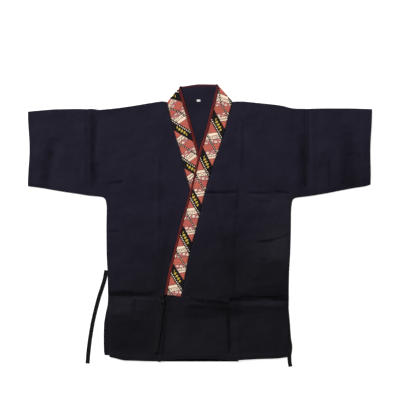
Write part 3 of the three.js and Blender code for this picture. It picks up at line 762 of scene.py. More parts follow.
def ripples(x, y, parts):
    """Sum of sine ripples over two directions, each with its height and its length in both."""
    return sum(height * np.sin(x / length_x + y / length_y) for height, length_x, length_y in parts)


def bell(distance, width, centre=0):
    """A smooth swell of height 1 at its centre."""
    return np.exp(-((distance - centre) / width) ** 2)


def groove(distance, depth, place, width):
    """Depth of a line of stitches or a seam at a place."""
    return depth * bell(distance, width, place)


def waves(x, y):
    """Slight unevenness of pressed cloth."""
    drift = WAVE_DRIFT * np.sin(math.tau * (x - y) / WAVE_DRIFT_LENGTH)
    total = np.zeros(np.shape(x))
    for length, turn, height, phase in zip(*WAVES.values()):
        along = x * math.cos(math.radians(turn)) + y * math.sin(math.radians(turn))
        total += height * np.sin(math.tau * along / length + phase + drift)
    return total


def creases(x, y, toned=False):
    """Troughs and ridges, each uneven along its length and fading out at its ends. In painted shading, wide
    ones count for less.
    """
    total = np.zeros(np.shape(x))
    for start_x, start_y, end_x, end_y, height, reach in zip(*CREASES.values()):
        run_x, run_y = end_x - start_x, end_y - start_y
        length = math.hypot(run_x, run_y)
        share = np.clip(((x - start_x) * run_x + (y - start_y) * run_y) / length**2, 0, 1)
        along = share * length
        swing = min(1.0, length / FULL_SWING_LENGTH) * min(1.0, reach / FULL_SWING_REACH) ** 2
        wobble = swing * swells(along, CREASE_SWINGS, (start_x, start_y))
        side = (run_x * (y - start_y) - run_y * (x - start_x)) / length
        end_gap = np.hypot(x - start_x - share * run_x, y - start_y - share * run_y)
        beyond = end_gap > np.abs(side) + PAST_END
        distance = np.where(beyond, end_gap, np.abs(side + wobble))
        uneven = CREASE_MEAN + swells(along, CREASE_SWELLS, (start_y, end_x))
        uneven = uneven * smoothstep(0, CREASE_FADE, share + CREASE_END)
        uneven = uneven * smoothstep(0, CREASE_FADE, 1 + CREASE_END - share)
        spread = reach * (1 + swells(along, CREASE_SPREADS, (end_y,)))
        part = smoothstep(0, 1, 1 - distance / spread)
        tone_share = min(1, (FULL_SHADE_REACH / reach) ** SHADE_FALL) if toned else 1
        total += height * tone_share * uneven * part
    return total


def painted_shading(x, y):
    """Painted shade in the creases and hollows, painted highlight on the ridges beside them and on lit
    bulges.
    """
    fold = creases(x, y, toned=True)
    tone = np.where(fold < 0, fold * TROUGH_SHADE, fold * RIDGE_HIGHLIGHT)
    for mid_x, mid_y, half_x, half_y, turn, depth in zip(*LIGHT_AND_SHADE_PATCHES.values()):
        cos, sin = math.cos(math.radians(turn)), math.sin(math.radians(turn))
        u = ((x - mid_x) * cos + (y - mid_y) * sin) / half_x
        v = ((y - mid_y) * cos - (x - mid_x) * sin) / half_y
        rags = zip(PATCH_RAGS, (mid_x, mid_y))
        ragged = 1 + sum(size * np.sin(v * down + u * across + start) for (size, down, across), start in rags)
        tone = tone + depth * smoothstep(*PATCH_EDGE, np.sqrt(u * u + v**4) * ragged)
    return np.clip(tone, *SHADING_LIMITS)


def shown_share(x, y):
    """The under front is pressed flat where the over front lies on it."""
    edge = np.interp(y, OVER_EDGE["y"], OVER_EDGE["x"])
    return smoothstep(0, PRESSED_RAMP, edge - PRESSED_MARGIN - x)


def inside(outline, x, y):
    """Whether points lie in a closed outline."""
    result = np.zeros(np.shape(x), bool)
    for (x0, y0), (x1, y1) in zip(outline, np.roll(outline, -1, axis=0)):
        if y0 == y1:
            continue
        crosses = (y0 > y) != (y1 > y)
        result ^= crosses & (x < (x1 - x0) * (y - y0) / (y1 - y0) + x0)
    return result


class Underlay:
    """How far the layers beneath lift the cloth on them, eased where it bridges their edges."""

    CELL = 3.0
    GROW = 2
    EASE = 3
    CELLS_JOINED = 9
    LAST_CELL = 1.001

    def __init__(self, layers):
        self.xs = np.arange(-UNDERLAY_X, UNDERLAY_X + 1, self.CELL)
        self.ys = np.arange(-UNDERLAY_Y, UNDERLAY_Y + 1, self.CELL)
        x, y = np.meshgrid(self.xs, self.ys)
        lift = np.zeros(x.shape)
        for outline, height in layers:
            lift = np.maximum(lift, height * inside(np.array(outline), x, y))
        for _ in range(self.GROW):
            lift = self.spread(lift, np.maximum)
        for _ in range(self.EASE):
            lift = self.spread(lift, np.add) / self.CELLS_JOINED
        self.lift = lift

    @staticmethod
    def spread(lift, join):
        """Joins each cell with its eight neighbours."""
        padded = np.pad(lift, 1, mode="edge")
        rows, columns = lift.shape
        result = padded[:rows, :columns]
        for row in range(3):
            for column in range(3):
                if row or column:
                    result = join(result, padded[row:row + rows, column:column + columns])
        return result

    def at(self, x, y):
        """Lift at any points, between the middles of the cells."""
        column = np.clip((x - self.xs[0]) / self.CELL, 0, len(self.xs) - self.LAST_CELL)
        row = np.clip((y - self.ys[0]) / self.CELL, 0, len(self.ys) - self.LAST_CELL)
        c, r = column.astype(int), row.astype(int)
        fc, fr = column - c, row - r
        top = self.lift[r + 1, c] * (1 - fc) + self.lift[r + 1, c + 1] * fc
        return (self.lift[r, c] * (1 - fc) + self.lift[r, c + 1] * fc) * (1 - fr) + top * fr


def band_outline(rows):
    seam = np.stack([rows["seam_x"], rows["seam_y"]], 1)
    free = np.stack([rows["free_x"], rows["free_y"]], 1)
    return np.concatenate([seam, free[::-1]])


def under_front_outline():
    seam = np.stack([COLLAR_RIGHT["seam_x"], COLLAR_RIGHT["seam_y"]], 1)[::-1]
    side = [(SEAM_X_RIGHT, UNDER_TOP), (SEAM_X_RIGHT, UNDER_HEM)]
    return np.concatenate([UNDER_SKIRT, seam, side])


UNDER_OVER_FRONT = Underlay([
    (under_front_outline(), OVER_FRONT),
    (band_outline(COLLAR_RIGHT), OVER_BAND),
    (TIE_INNER_UNDER, OVER_FRONT),
])


# Meshes

SURFACES = {}


def even_steps(length, step):
    return max(1, math.ceil(length / step))


def edge_places(count):
    """Places from 0 to 1 with two close ones beside each end, where the cloth's edge turns over."""
    inner = np.linspace(0, 1, count + 1)[1:-1]
    close = inner[0] * CLOSE_PLACES
    return np.concatenate([[0], close, inner, 1 - close[::-1], [1]])


def shell_mesh(name, upper, lower, ring=False, uv=None, worn=None):
    """A closed cloth wall between an upper and a lower grid of points, in millimetres."""
    rows, columns = upper.shape[:2]
    index = np.arange(rows * columns).reshape(rows, columns)
    if ring:
        index = np.concatenate([index, index[:, :1]], axis=1)
    under = index + rows * columns

    def quads(a, b, c, d):
        return np.stack([a.ravel(), b.ravel(), c.ravel(), d.ravel()], 1)

    parts = [
        quads(index[:-1, :-1], index[:-1, 1:], index[1:, 1:], index[1:, :-1]),
        quads(under[:-1, :-1], under[1:, :-1], under[1:, 1:], under[:-1, 1:]),
        quads(index[0, 1:], index[0, :-1], under[0, :-1], under[0, 1:]),
        quads(index[-1, :-1], index[-1, 1:], under[-1, 1:], under[-1, :-1]),
    ]
    if not ring:
        parts.append(quads(index[:-1, 0], index[1:, 0], under[1:, 0], under[:-1, 0]))
        parts.append(quads(index[1:, -1], index[:-1, -1], under[:-1, -1], under[1:, -1]))
    faces = np.concatenate(parts)
    points = np.concatenate([upper.reshape(-1, 3), lower.reshape(-1, 3)]) * MM
    a, b, c, d = (points[faces[:, corner]] for corner in range(4))
    volume = np.einsum("ij,ij->i", a, np.cross(b, c)).sum() + np.einsum("ij,ij->i", a, np.cross(c, d)).sum()
    if volume < 0:
        faces = faces[:, ::-1]
    mesh = bpy.data.meshes.new(name)
    mesh.from_pydata(points.tolist(), [], faces.tolist())
    mesh.polygons.foreach_set("use_smooth", np.ones(len(faces), bool))
    if uv is not None:
        both = np.concatenate([uv.reshape(-1, 2), uv.reshape(-1, 2)])
        layer = mesh.uv_layers.new(name="strip")
        layer.data.foreach_set("uv", (both[faces.ravel()] * MM).ravel())
    worn = np.zeros(rows * columns) if worn is None else worn.ravel()
    mesh.attributes.new("worn", "FLOAT", "POINT").data.foreach_set("value", np.concatenate([worn, worn]))
    mesh.update()
    return mesh


def add_object(name, data):
    """A new object in the scene."""
    made = bpy.data.objects.new(name, data)
    bpy.context.scene.collection.objects.link(made)
    return made


def cloth_piece(name, upper, lower, finish, slot, **options):
    """A finished piece of cloth that rides on the jacket in place of its plain solid."""
    mesh = shell_mesh(name + "_cloth", upper, lower, **options)
    mesh.materials.append(material(finish))
    shape = add_object(name + "_cloth", mesh)
    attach(shape, "root")
    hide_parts(name)
    return shape


def turned_edge(distance, radius):
    """How far a cloth's face drops towards its rounded edge."""
    part = np.clip(1 - distance / radius, 0, 1)
    return radius * (1 - np.sqrt(1 - part * part))


def seam_point(collar, place):
    """Point of the band's sewn edge at a place in its rows."""
    knots = np.arange(len(collar["seam_x"]))
    return np.interp(place, knots, collar["seam_x"]), np.interp(place, knots, collar["seam_y"])


def front_sections(skirt, chest, collar, outward):
    """Sections of a whole front: those of its skirt, then those along the band's sewn edge."""
    rows = list(skirt)
    for number, (place, outer_x, outer_y) in enumerate(chest):
        x, y = seam_point(collar, place)
        x, y = x + outward * SEAM_OFFSET, y - (BAND_END_DROP if number == 0 else 0)
        rows.append((x, y, outer_x, outer_y, 0, TOP_WEIGHTS.get(place, 0)))
    return table(SECTION_COLUMNS, rows)


def dense_sections(sections, breaks, step):
    """Sections a mesh step apart, smooth between the breaks, with close ones at the first and last."""
    dense = {name: [] for name in sections}
    ends = [0, *breaks, len(sections["hem"]) - 1]
    for low, high in zip(ends[:-1], ends[1:]):
        knots = np.arange(low, high + 1)
        part = {name: values[low:high + 1] for name, values in sections.items()}
        inner = np.hypot(np.diff(part["inner_x"]), np.diff(part["inner_y"]))
        outer = np.hypot(np.diff(part["outer_x"]), np.diff(part["outer_y"]))
        places = [float(low)]
        for knot, length in zip(knots[:-1], np.maximum(inner, outer)):
            count = even_steps(length, step)
            places.extend(knot + (np.arange(count) + 1) / count)
        if low == 0:
            places[1:1] = list(places[1] * CLOSE_PLACES)
        if high == ends[-1]:
            last = places[-1] - places[-2]
            places[-1:-1] = list(places[-1] - last * CLOSE_PLACES[::-1])
        else:
            places = places[:-1]
        for name, values in part.items():
            dense[name].append(pchip(knots, values, np.array(places)))
    return {name: np.concatenate(values) for name, values in dense.items()}


def section_grid(dense, columns, hem, shoulder):
    """Points across every section, with the hem's and the shoulder's own lines, and their places."""
    place = edge_places(columns)[None, :]
    x = dense["inner_x"][:, None] * (1 - place) + dense["outer_x"][:, None] * place
    y = dense["inner_y"][:, None] * (1 - place) + dense["outer_y"][:, None] * place
    y = y + dense["hem"][:, None] * shift_at(hem, x) + dense["top"][:, None] * shift_at(shoulder, x)
    return x, y, np.broadcast_to(place, x.shape)


def edge_distances(x, y):
    """Distance of each grid point from the grid's four sides, in millimetres."""
    across = np.hypot(np.diff(x, axis=1), np.diff(y, axis=1))
    across = np.concatenate([np.zeros((len(x), 1)), np.cumsum(across, axis=1)], axis=1)
    return across, across[:, -1:] - across, np.abs(y[:1] - y), np.abs(y[-1:] - y)


def sheet_from(x, y, top, thickness, edge_drop):
    """Upper and lower grids of a cloth wall below a height, drawn in at its edges."""
    upper = np.stack([x, y, top - edge_drop], -1)
    lower = np.stack([x, y, top - thickness + edge_drop * UNDERSIDE_ROUND], -1)
    return upper, lower


def hem_step(distance, depth):
    """The double cloth of a turned and stitched hem."""
    from_fold = distance - depth
    return HEM_RISE * (1 - smoothstep(*HEM_STEP, from_fold)) - groove(from_fold, *HEM_GROOVE)


def pucker(along, distance, depth, height):
    """Small pulls that a row of stitches leaves beside it."""
    return height * bell(distance, PUCKER_REACH, depth) * swells(along, PUCKERS, PUCKER_PHASES)


def soft_floor(relief, depth):
    """Relief whose troughs flatten out towards a depth, as on cloth that lies on a table."""
    return np.where(relief > 0, relief, depth * np.exp(np.minimum(relief, 0) / depth) - depth)


# Materials

class Shade:
    """A socket of a finish, on which Python's operators add Math nodes."""

    def __init__(self, finish, socket):
        self.finish = finish
        self.socket = socket

    def __add__(self, other):
        return self.finish.math("ADD", self, other)

    def __radd__(self, other):
        return self.finish.math("ADD", other, self)

    def __sub__(self, other):
        return self.finish.math("SUBTRACT", self, other)

    def __rsub__(self, other):
        return self.finish.math("SUBTRACT", other, self)

    def __mul__(self, other):
        return self.finish.math("MULTIPLY", self, other)

    def __rmul__(self, other):
        return self.finish.math("MULTIPLY", other, self)

    def __truediv__(self, other):
        return self.finish.math("DIVIDE", self, other)

    def __gt__(self, other):
        return self.finish.math("GREATER_THAN", self, other)

    def __lt__(self, other):
        return self.finish.math("LESS_THAN", self, other)

    def __mod__(self, other):
        return self.finish.math("FLOORED_MODULO", self, other)

    def __abs__(self):
        return self.finish.math("ABSOLUTE", self)


# Finishes: scale and detail of each noise, and the height of a weave in metres. A share is its part in
# the sum, a level is what it must pass, and a gain what it is then multiplied by
WEAVE_HEIGHT = 0.0001
TWILL_HEIGHT = 0.00012
YARN_LEAN = 0.35
YARN_PITCH = 0.8
RIB_SHARE = 0.7
CLOUDS = (7.0, 3.0)
CLOUDS_PLACE = (0.7, 2.9, 0.0)
BROAD = (5.5, 3.0)
PATCHY = (14.0, 4.0)
PATCHY_PLACE = (3.1, 1.7, 0.0)
MOTTLE = (85.0, 3.0)
SLUB = (1.0, 2.0)
SLUB_STRETCH = (900.0, 60.0, 1.0)
SPECKLE = (160.0, 2.0)
FUZZ = (900.0, 1.0)
DUSK_LEAN = 0.35
DUSK_CLOUDS = 120.0
DUSK_BETWEEN = (225.0, -190.0)
BROAD_SHARE = 0.25
PATCHY_SHARE = 0.5
MOTTLE_SHARE = 0.35
SLUB_SHARE = 0.2
UNEVEN_LEVEL = 0.38
PALE_LEVEL = 0.3
TWILL_ROUGHNESS = 0.86
ROUGHNESS_SPREAD = 0.1
FUZZ_SHARE = 0.6

# Print, in millimetres along the band: bars and wedges that slant across it, and where each starts
BAR_SLANT = 1.05
WEDGE_SLANT = 0.42
CREAM_WEDGES = ((6.0, 27.0), (73.0, 88.0))
WAVED_WEDGES = ((15.5, 27.0), (73.0, 82.0))
MAUVE_WEDGES = ((27.0, 40.0), (62.0, 73.0))
LINED_EDGES = ((6.0, 27.0), (40.0, 62.0), (73.0, 88.0), (15.5, 82.0))
EDGE_LINE = 0.8
SCALE_WIDTH = 9.5
SCALE_HEIGHT = 8.0
SCALE_STRENGTH = 0.75
BLUSH = (30.0, 2.0)
BLUSH_LEVEL = 0.46
BLUSH_GAIN = 4.5
WAVE_WIDTH = 18.0
WAVE_HEIGHT = 7.6
WAVE_RING = 4.4
WAVE_LINE = 0.75
WAVE_STRENGTH = 0.8
WAVE_FAINT = 0.12
BLOSSOM_WIDTH = 12.5
BLOSSOM_HEIGHT = 12.0
BLOSSOM_SHIFT = 0.2
BLOSSOM_HEART = 1.0
PETALS = 5
PETAL_NOTCH = 2.6
PETAL_LENGTH = 1.9
PETAL_LINE = (0.4, 0.5)
PETAL_LINE_STRENGTH = 0.8
WIDE_BAR = (18.0, 18.0)
SLIM_BAR = (76.0, 3.6)
RUN_SLANT = 0.95
DIAMOND_PITCH = 12.0
DIAMOND_LENGTH = 9.6
DIAMOND_SHIFT = 2.0
DIAMOND_NARROWING = 0.5
DIAMOND_REACH = 3.8
DIAMOND_ROW = (22.0, 12.0)
DOTS_PER_DIAMOND = 1.5
DOT_ROW = (9.6, 13.6)
DOT_GAP = 0.3
SLIM_DOT = (0.2, 1.2)
GRAIN = (1500.0, 2.0)
GRAIN_STRENGTH = 0.12
HANDLED = (90.0, 3.0)
HANDLED_LEVEL = 0.45
HANDLED_GAIN = 0.8
SEAM_SHADE = (0.6, 2.9)
SEAM_SHADE_STRENGTH = 0.8
PRINT_YARNS = 12.0

# Binding, tapes and thread
BINDING_TONE = (260.0, 3.0)
BINDING_TONES = (0.55, 1.35)
BINDING_WORN = (38.0, 3.0)
BINDING_WORN_LEVEL = 0.42
BINDING_WORN_GAIN = 2.2
BEHIND_NECK = (370.0, 395.0)
BEHIND_NECK_SHADE = 0.8
BINDING_RIB = 0.8
TAPE_TONE = (300.0, 3.0)
TAPE_TONES = (0.7, 1.2)
TAPE_PALE_AND_HIGHLIGHT = 3.0
TAPE_PALE_AND_HIGHLIGHT_SHARE = 0.5
TIE_WEAVE = 0.7
TAB_WEAVE = 0.5
THREAD_TONE = (700.0, 2.0)
THREAD_TWIST = 9.0
PAPER_TONE = (3.0, 2.0)


class Finish:
    """A node-based cloth finish around one Principled shader."""

    def __init__(self, name, roughness, specular):
        self.material = bpy.data.materials.new(name)
        self.material.use_nodes = True
        self.tree = self.material.node_tree
        self.shader = next(node for node in self.tree.nodes if node.type == "BSDF_PRINCIPLED")
        self.shader.inputs["Roughness"].default_value = roughness
        self.shader.inputs["Specular IOR Level"].default_value = specular

    def add(self, kind, settings=(), output=0, **values):
        """One node: its type, its settings, and values or links for its sockets, by name or i and number."""
        node = self.tree.nodes.new(kind)
        for setting, value in dict(settings).items():
            setattr(node, setting, value)
        for key, value in values.items():
            number = key[1:]
            socket = node.inputs[int(number)] if number.isdigit() else node.inputs[key.replace("_", " ")]
            if isinstance(value, Shade):
                self.tree.links.new(value.socket, socket)
            else:
                socket.default_value = value
        return Shade(self, node.outputs[output])

    def math(self, operation, *values):
        named = {f"i{number}": value for number, value in enumerate(values)}
        return self.add("ShaderNodeMath", {"operation": operation}, **named)

    def above(self, value, level):
        """How far a value stands above a level, and 0 below it."""
        return self.math("MAXIMUM", value - level, 0.0)

    def either(self, first, second):
        return self.math("MAXIMUM", first, second)

    def mix(self, factor, first, second):
        """Colour between two colours."""
        first = first if isinstance(first, Shade) else (*first, 1)
        second = second if isinstance(second, Shade) else (*second, 1)
        return self.add("ShaderNodeMix", {"data_type": "RGBA"}, output=2, i0=factor, i6=first, i7=second)

    def ramp(self, value, between, levels, kind="LINEAR"):
        """From the first level to the second between two bounds, and level outside them."""
        return self.add(
            "ShaderNodeMapRange", {"interpolation_type": kind}, Value=value,
            From_Min=between[0], From_Max=between[1], To_Min=levels[0], To_Max=levels[1],
        )

    def coordinates(self, kind):
        """Object coordinates, or the strip's own UV, as a vector and three values in millimetres."""
        if kind == "UV":
            source = self.add("ShaderNodeUVMap", {"uv_map": "strip"})
        else:
            source = self.add("ShaderNodeTexCoord", output="Object")
        node = self.add("ShaderNodeSeparateXYZ", i0=source).socket.node
        return source, *(Shade(self, node.outputs[axis]) * (1 / MM) for axis in range(3))

    def moved(self, source, **change):
        return self.add("ShaderNodeMapping", i0=source, **change)

    def noise(self, vector, scale, detail):
        return self.add("ShaderNodeTexNoise", Vector=vector, Scale=scale, Detail=detail)

    def worn(self):
        """The cloth's wear and painted shading: above 0 on pale edges and painted highlights, below 0 in
        painted shade.
        """
        return self.add("ShaderNodeAttribute", {"attribute_name": "worn"}, output="Fac")

    def bump(self, height, strength, distance=WEAVE_HEIGHT):
        normal = self.add("ShaderNodeBump", Height=height, Strength=strength, Distance=distance)
        self.tree.links.new(normal.socket, self.shader.inputs["Normal"])

    def colour(self, colour):
        self.tree.links.new(colour.socket, self.shader.inputs["Base Color"])

    def roughness(self, value):
        self.tree.links.new(value.socket, self.shader.inputs["Roughness"])


def scaled(colour, factor):
    return tuple(min(1, value * factor) for value in colour)


def weave(finish, x, y, pitch):
    """Height of a twill: diagonal ribs broken by the crossing yarns."""
    ribs = finish.math("SINE", (x + y) * (math.tau / pitch))
    yarns = finish.math("SINE", (x - y * YARN_LEAN) * (math.tau / (pitch * YARN_PITCH)))
    return ribs * RIB_SHARE + yarns * (1 - RIB_SHARE)


def indigo_twill():
    """Indigo twill with uneven dyeing: bluer and paler at the shoulders, nearly black to the lower right
    (partly its own colour, mostly painted shade), painted shade in creases and painted highlight on ridges.
    """
    tint, size = colours(), sizes()
    finish = Finish("indigo_twill", roughness=0.92, specular=0.05)
    source, x, y, _ = finish.coordinates("Object")
    # Darker towards the lower right: partly the twill's own blacker colour, mostly painted shade of the light
    # from the top left
    clouds = finish.noise(finish.moved(source, Location=CLOUDS_PLACE), *CLOUDS)
    lower = finish.ramp(y - x * DUSK_LEAN + clouds * DUSK_CLOUDS, DUSK_BETWEEN, (0.0, 1.0), "SMOOTHSTEP")
    ground = finish.mix(lower, tint.indigo, tint.dusk)
    broad = finish.noise(source, *BROAD)
    patchy = finish.noise(finish.moved(source, Location=PATCHY_PLACE), *PATCHY)
    mottle = finish.noise(source, *MOTTLE)
    slub = finish.noise(finish.moved(source, Scale=SLUB_STRETCH), *SLUB)
    uneven = broad * BROAD_SHARE + patchy * PATCHY_SHARE + mottle * MOTTLE_SHARE + slub * SLUB_SHARE
    toned = finish.mix(finish.above(uneven, UNEVEN_LEVEL), ground, tint.deep_dye_and_shade)
    worn = finish.worn()
    # Pale edges, and painted highlight on ridges and lit bulges
    pale = finish.math("MAXIMUM", worn, 0.0) * (PALE_LEVEL + finish.noise(source, *SPECKLE))
    # Painted shade in creases and hollows
    painted_shade = finish.math("MINIMUM", finish.math("MAXIMUM", worn * -1.0, 0.0), 1.0)
    toned = finish.mix(finish.math("MINIMUM", pale, 1.0), toned, tint.washed_and_highlight)
    finish.colour(finish.mix(painted_shade, toned, tint.deep_dye_and_shade))
    finish.roughness(TWILL_ROUGHNESS + broad * ROUGHNESS_SPREAD)
    fuzz = finish.noise(source, *FUZZ)
    twill = weave(finish, x, y, size.twill_pitch / MM) + fuzz * FUZZ_SHARE
    finish.bump(twill, strength=0.35, distance=TWILL_HEIGHT)
    return finish.material


def within(value, bounds):
    """1 where a value lies between two bounds."""
    low, high = bounds
    return (value > low) * (value < high)


def in_wedges(wedge, wedges):
    """1 inside two wedges that lie apart."""
    first, second = wedges
    return within(wedge, first) + within(wedge, second)


def near(value, place):
    """1 where a value lies within a reach of a middle."""
    middle, reach = place
    return abs(value - middle) < reach


def centred(value):
    """Place within a repeat of 1, from its middle."""
    return value % 1.0 - 0.5


def scale_ground(finish, source, along, across):
    """Coral ground with orange scale triangles."""
    tint = colours()
    row = (across / SCALE_HEIGHT) % 1.0
    triangle = abs(centred(along / SCALE_WIDTH)) * 2.0 < row
    blush = finish.above(finish.noise(source, *BLUSH), BLUSH_LEVEL) * BLUSH_GAIN
    return finish.mix(triangle * SCALE_STRENGTH, finish.mix(blush, tint.coral, tint.rose), tint.orange)


def overlapping_waves(finish, along, across, wedge):
    """Cream ground with rows of dark rings, faint outside the waved wedges."""
    row = finish.math("FLOOR", across / WAVE_HEIGHT)
    wave_x = centred(along / WAVE_WIDTH + (row % 2.0) * 0.5) * WAVE_WIDTH
    wave_y = across - row * WAVE_HEIGHT
    radius = finish.math("SQRT", wave_x * wave_x + wave_y * wave_y)
    ring = abs(radius % WAVE_RING - WAVE_RING / 2) < WAVE_LINE
    strength = in_wedges(wedge, WAVED_WEDGES) * WAVE_STRENGTH + WAVE_FAINT
    return finish.mix(ring * strength, colours().cream, colours().soot)


def blossoms(finish, along, across):
    """Mauve ground with five-petalled cream blossoms in umber outlines."""
    tint = colours()
    blossom_x = centred(along / BLOSSOM_WIDTH) * BLOSSOM_WIDTH
    blossom_y = centred(across / BLOSSOM_HEIGHT + BLOSSOM_SHIFT) * BLOSSOM_HEIGHT
    reach = finish.math("SQRT", blossom_x * blossom_x + blossom_y * blossom_y)
    angle = finish.math("ARCTAN2", blossom_y, blossom_x)
    petals = PETAL_NOTCH + abs(finish.math("COSINE", angle * (PETALS / 2))) * PETAL_LENGTH
    blossom = (reach < petals) * (reach > BLOSSOM_HEART)
    outline = near(reach - petals, PETAL_LINE) + (reach < BLOSSOM_HEART)
    return finish.mix(outline * PETAL_LINE_STRENGTH, finish.mix(blossom, tint.mauve, tint.cream), tint.umber)


def dark_bars(finish, colour, along, across, bars):
    """A wide bar with yellow diamonds and cream dots, and a slim one with dots alone."""
    tint = colours()
    run = (along * RUN_SLANT - across) / DIAMOND_PITCH
    wide = bars - WIDE_BAR[0]
    drop = abs(centred(run)) * DIAMOND_LENGTH + abs(wide + DIAMOND_SHIFT) * DIAMOND_NARROWING
    diamond = (drop < DIAMOND_REACH) * near(across, DIAMOND_ROW)
    beat = abs(centred(run * DOTS_PER_DIAMOND))
    dots = (beat > DOT_GAP) * within(wide, DOT_ROW)
    slim_dots = (beat < SLIM_DOT[0]) * near(bars, (SLIM_BAR[0], SLIM_DOT[1]))
    dark = finish.mix(diamond, tint.soot, tint.yellow)
    dark = finish.mix(finish.either(dots, slim_dots), dark, tint.cream)
    return finish.mix(finish.either(near(bars, WIDE_BAR), near(bars, SLIM_BAR)), colour, dark)


def printed_cotton():
    """Patchwork of traditional patterns: dark bars of diamonds over waves, blossoms and scales."""
    tint, size = colours(), sizes()
    repeat = size.print_repeat / MM
    finish = Finish("printed_cotton", roughness=0.85, specular=0.04)
    source, along, across, _ = finish.coordinates("UV")
    bars = (along + across * BAR_SLANT) % repeat
    wedge = (along - across * WEDGE_SLANT) % repeat
    colour = scale_ground(finish, source, along, across)
    cream = in_wedges(wedge, CREAM_WEDGES)
    colour = finish.mix(cream, colour, overlapping_waves(finish, along, across, wedge))
    colour = finish.mix(in_wedges(wedge, MAUVE_WEDGES), colour, blossoms(finish, along, across))
    for first, second in LINED_EDGES:
        line = finish.either(near(wedge, (first, EDGE_LINE)), near(wedge, (second, EDGE_LINE)))
        colour = finish.mix(line, colour, tint.umber)
    grain = finish.noise(source, *GRAIN)
    colour = finish.mix(grain * GRAIN_STRENGTH, colour, tint.coral)
    handled = finish.above(finish.noise(source, *HANDLED), HANDLED_LEVEL) * HANDLED_GAIN
    colour = finish.mix(handled, colour, tint.umber)
    colour = dark_bars(finish, colour, along, across, bars)
    # Painted shade along the sewn edge, where the band meets the front
    seam_shade = finish.ramp(across, SEAM_SHADE, (SEAM_SHADE_STRENGTH, 0.0))
    finish.colour(finish.mix(seam_shade, colour, tint.soot))
    yarns = finish.math("SINE", along * PRINT_YARNS) + finish.math("SINE", across * PRINT_YARNS)
    finish.bump(yarns * 0.5 + grain, strength=0.3)
    return finish.material


def bias_cotton():
    """Red binding, mottled and darker in places, with painted shade on its stretch behind the neck."""
    tint = colours()
    finish = Finish("bias_cotton", roughness=0.8, specular=0.05)
    source, along, across, _ = finish.coordinates("UV")
    tone = finish.noise(source, *BINDING_TONE)
    colour = finish.mix(tone, *(scaled(tint.binding, factor) for factor in BINDING_TONES))
    # Darker patches of the binding, placed at random
    worn = finish.above(finish.noise(source, *BINDING_WORN), BINDING_WORN_LEVEL) * BINDING_WORN_GAIN
    colour = finish.mix(worn, colour, tint.binding_worn)
    # Painted shade on the stretch behind the neck
    behind = finish.coordinates("Object")[2]
    shade = finish.ramp(behind, BEHIND_NECK, (0.0, BEHIND_NECK_SHADE))
    finish.colour(finish.mix(shade, colour, tint.binding_dusk))
    ribs = finish.math("SINE", (along + across) * (math.tau / BINDING_RIB))
    finish.bump(ribs + tone, strength=0.35)
    return finish.material


def plain_tape(name, colour, pitch):
    """Plain narrow cloth of one colour, with painted shade in its folds, painted highlight on their ridges
    and pale edges.
    """
    finish = Finish(name, roughness=0.9, specular=0.05)
    source, x, y, _ = finish.coordinates("Object")
    tone = finish.noise(source, *TAPE_TONE)
    worn = finish.worn()
    plain = finish.mix(tone, *(scaled(colour, factor) for factor in TAPE_TONES))
    # Painted shade in the folds of a crumpled strip
    plain = finish.mix(finish.math("MAXIMUM", worn * -1.0, 0.0), plain, colours().deep_dye_and_shade)
    # Pale edges, and painted highlight on the fold ridges
    pale_and_highlit = finish.math("MAXIMUM", worn, 0.0) * TAPE_PALE_AND_HIGHLIGHT_SHARE
    finish.colour(finish.mix(pale_and_highlit, plain, tuple(value * TAPE_PALE_AND_HIGHLIGHT for value in colour)))
    finish.bump(weave(finish, x, y, pitch) + tone, strength=0.3)
    return finish.material


def sewing_thread():
    """Dark twisted thread."""
    finish = Finish("sewing_thread", roughness=0.55, specular=0.3)
    source, x, y, _ = finish.coordinates("Object")
    tone = finish.noise(source, *THREAD_TONE)
    finish.colour(finish.mix(tone, colours().thread, colours().thread_light))
    finish.bump(finish.math("SINE", (x + y) * THREAD_TWIST), strength=0.2)
    return finish.material


def pale_paper():
    """Paper on a light table."""
    finish = Finish("pale_paper", roughness=0.95, specular=0.1)
    source, *_ = finish.coordinates("Object")
    finish.colour(finish.mix(finish.noise(source, *PAPER_TONE), colours().paper, colours().paper_light))
    finish.shader.inputs["Emission Color"].default_value = (1, 1, 1, 1)
    finish.shader.inputs["Emission Strength"].default_value = sizes().glow
    return finish.material


MAKERS = {
    "indigo_twill": indigo_twill,
    "printed_cotton": printed_cotton,
    "bias_cotton": bias_cotton,
    "tie_cotton": lambda: plain_tape("tie_cotton", tuple(colours().strip), TIE_WEAVE),
    "tab_tape": lambda: plain_tape("tab_tape", tuple(colours().tape), TAB_WEAVE),
    "sewing_thread": sewing_thread,
}


def material(name):
    """A finish by name, made once."""
    return bpy.data.materials.get(name) or MAKERS[name]()


# Pieces

def tie_frames(points, step):
    """Even places along a tie's route: points, directions across it and lengths along it."""
    points = np.array(points, float)
    gaps = np.hypot(*np.diff(points[:, :2], axis=0).T)
    knots = np.concatenate([[0], np.cumsum(gaps)])
    places = np.linspace(0, knots[-1], even_steps(knots[-1], step) + 1)
    route = np.stack([pchip(knots, points[:, axis], places) for axis in range(3)], 1)
    along = np.gradient(route, axis=0)
    along /= np.linalg.norm(along, axis=1)[:, None]
    across = np.stack([along[:, 1], -along[:, 0], np.zeros(len(along))], 1)
    across /= np.linalg.norm(across, axis=1)[:, None]
    return route, across, places


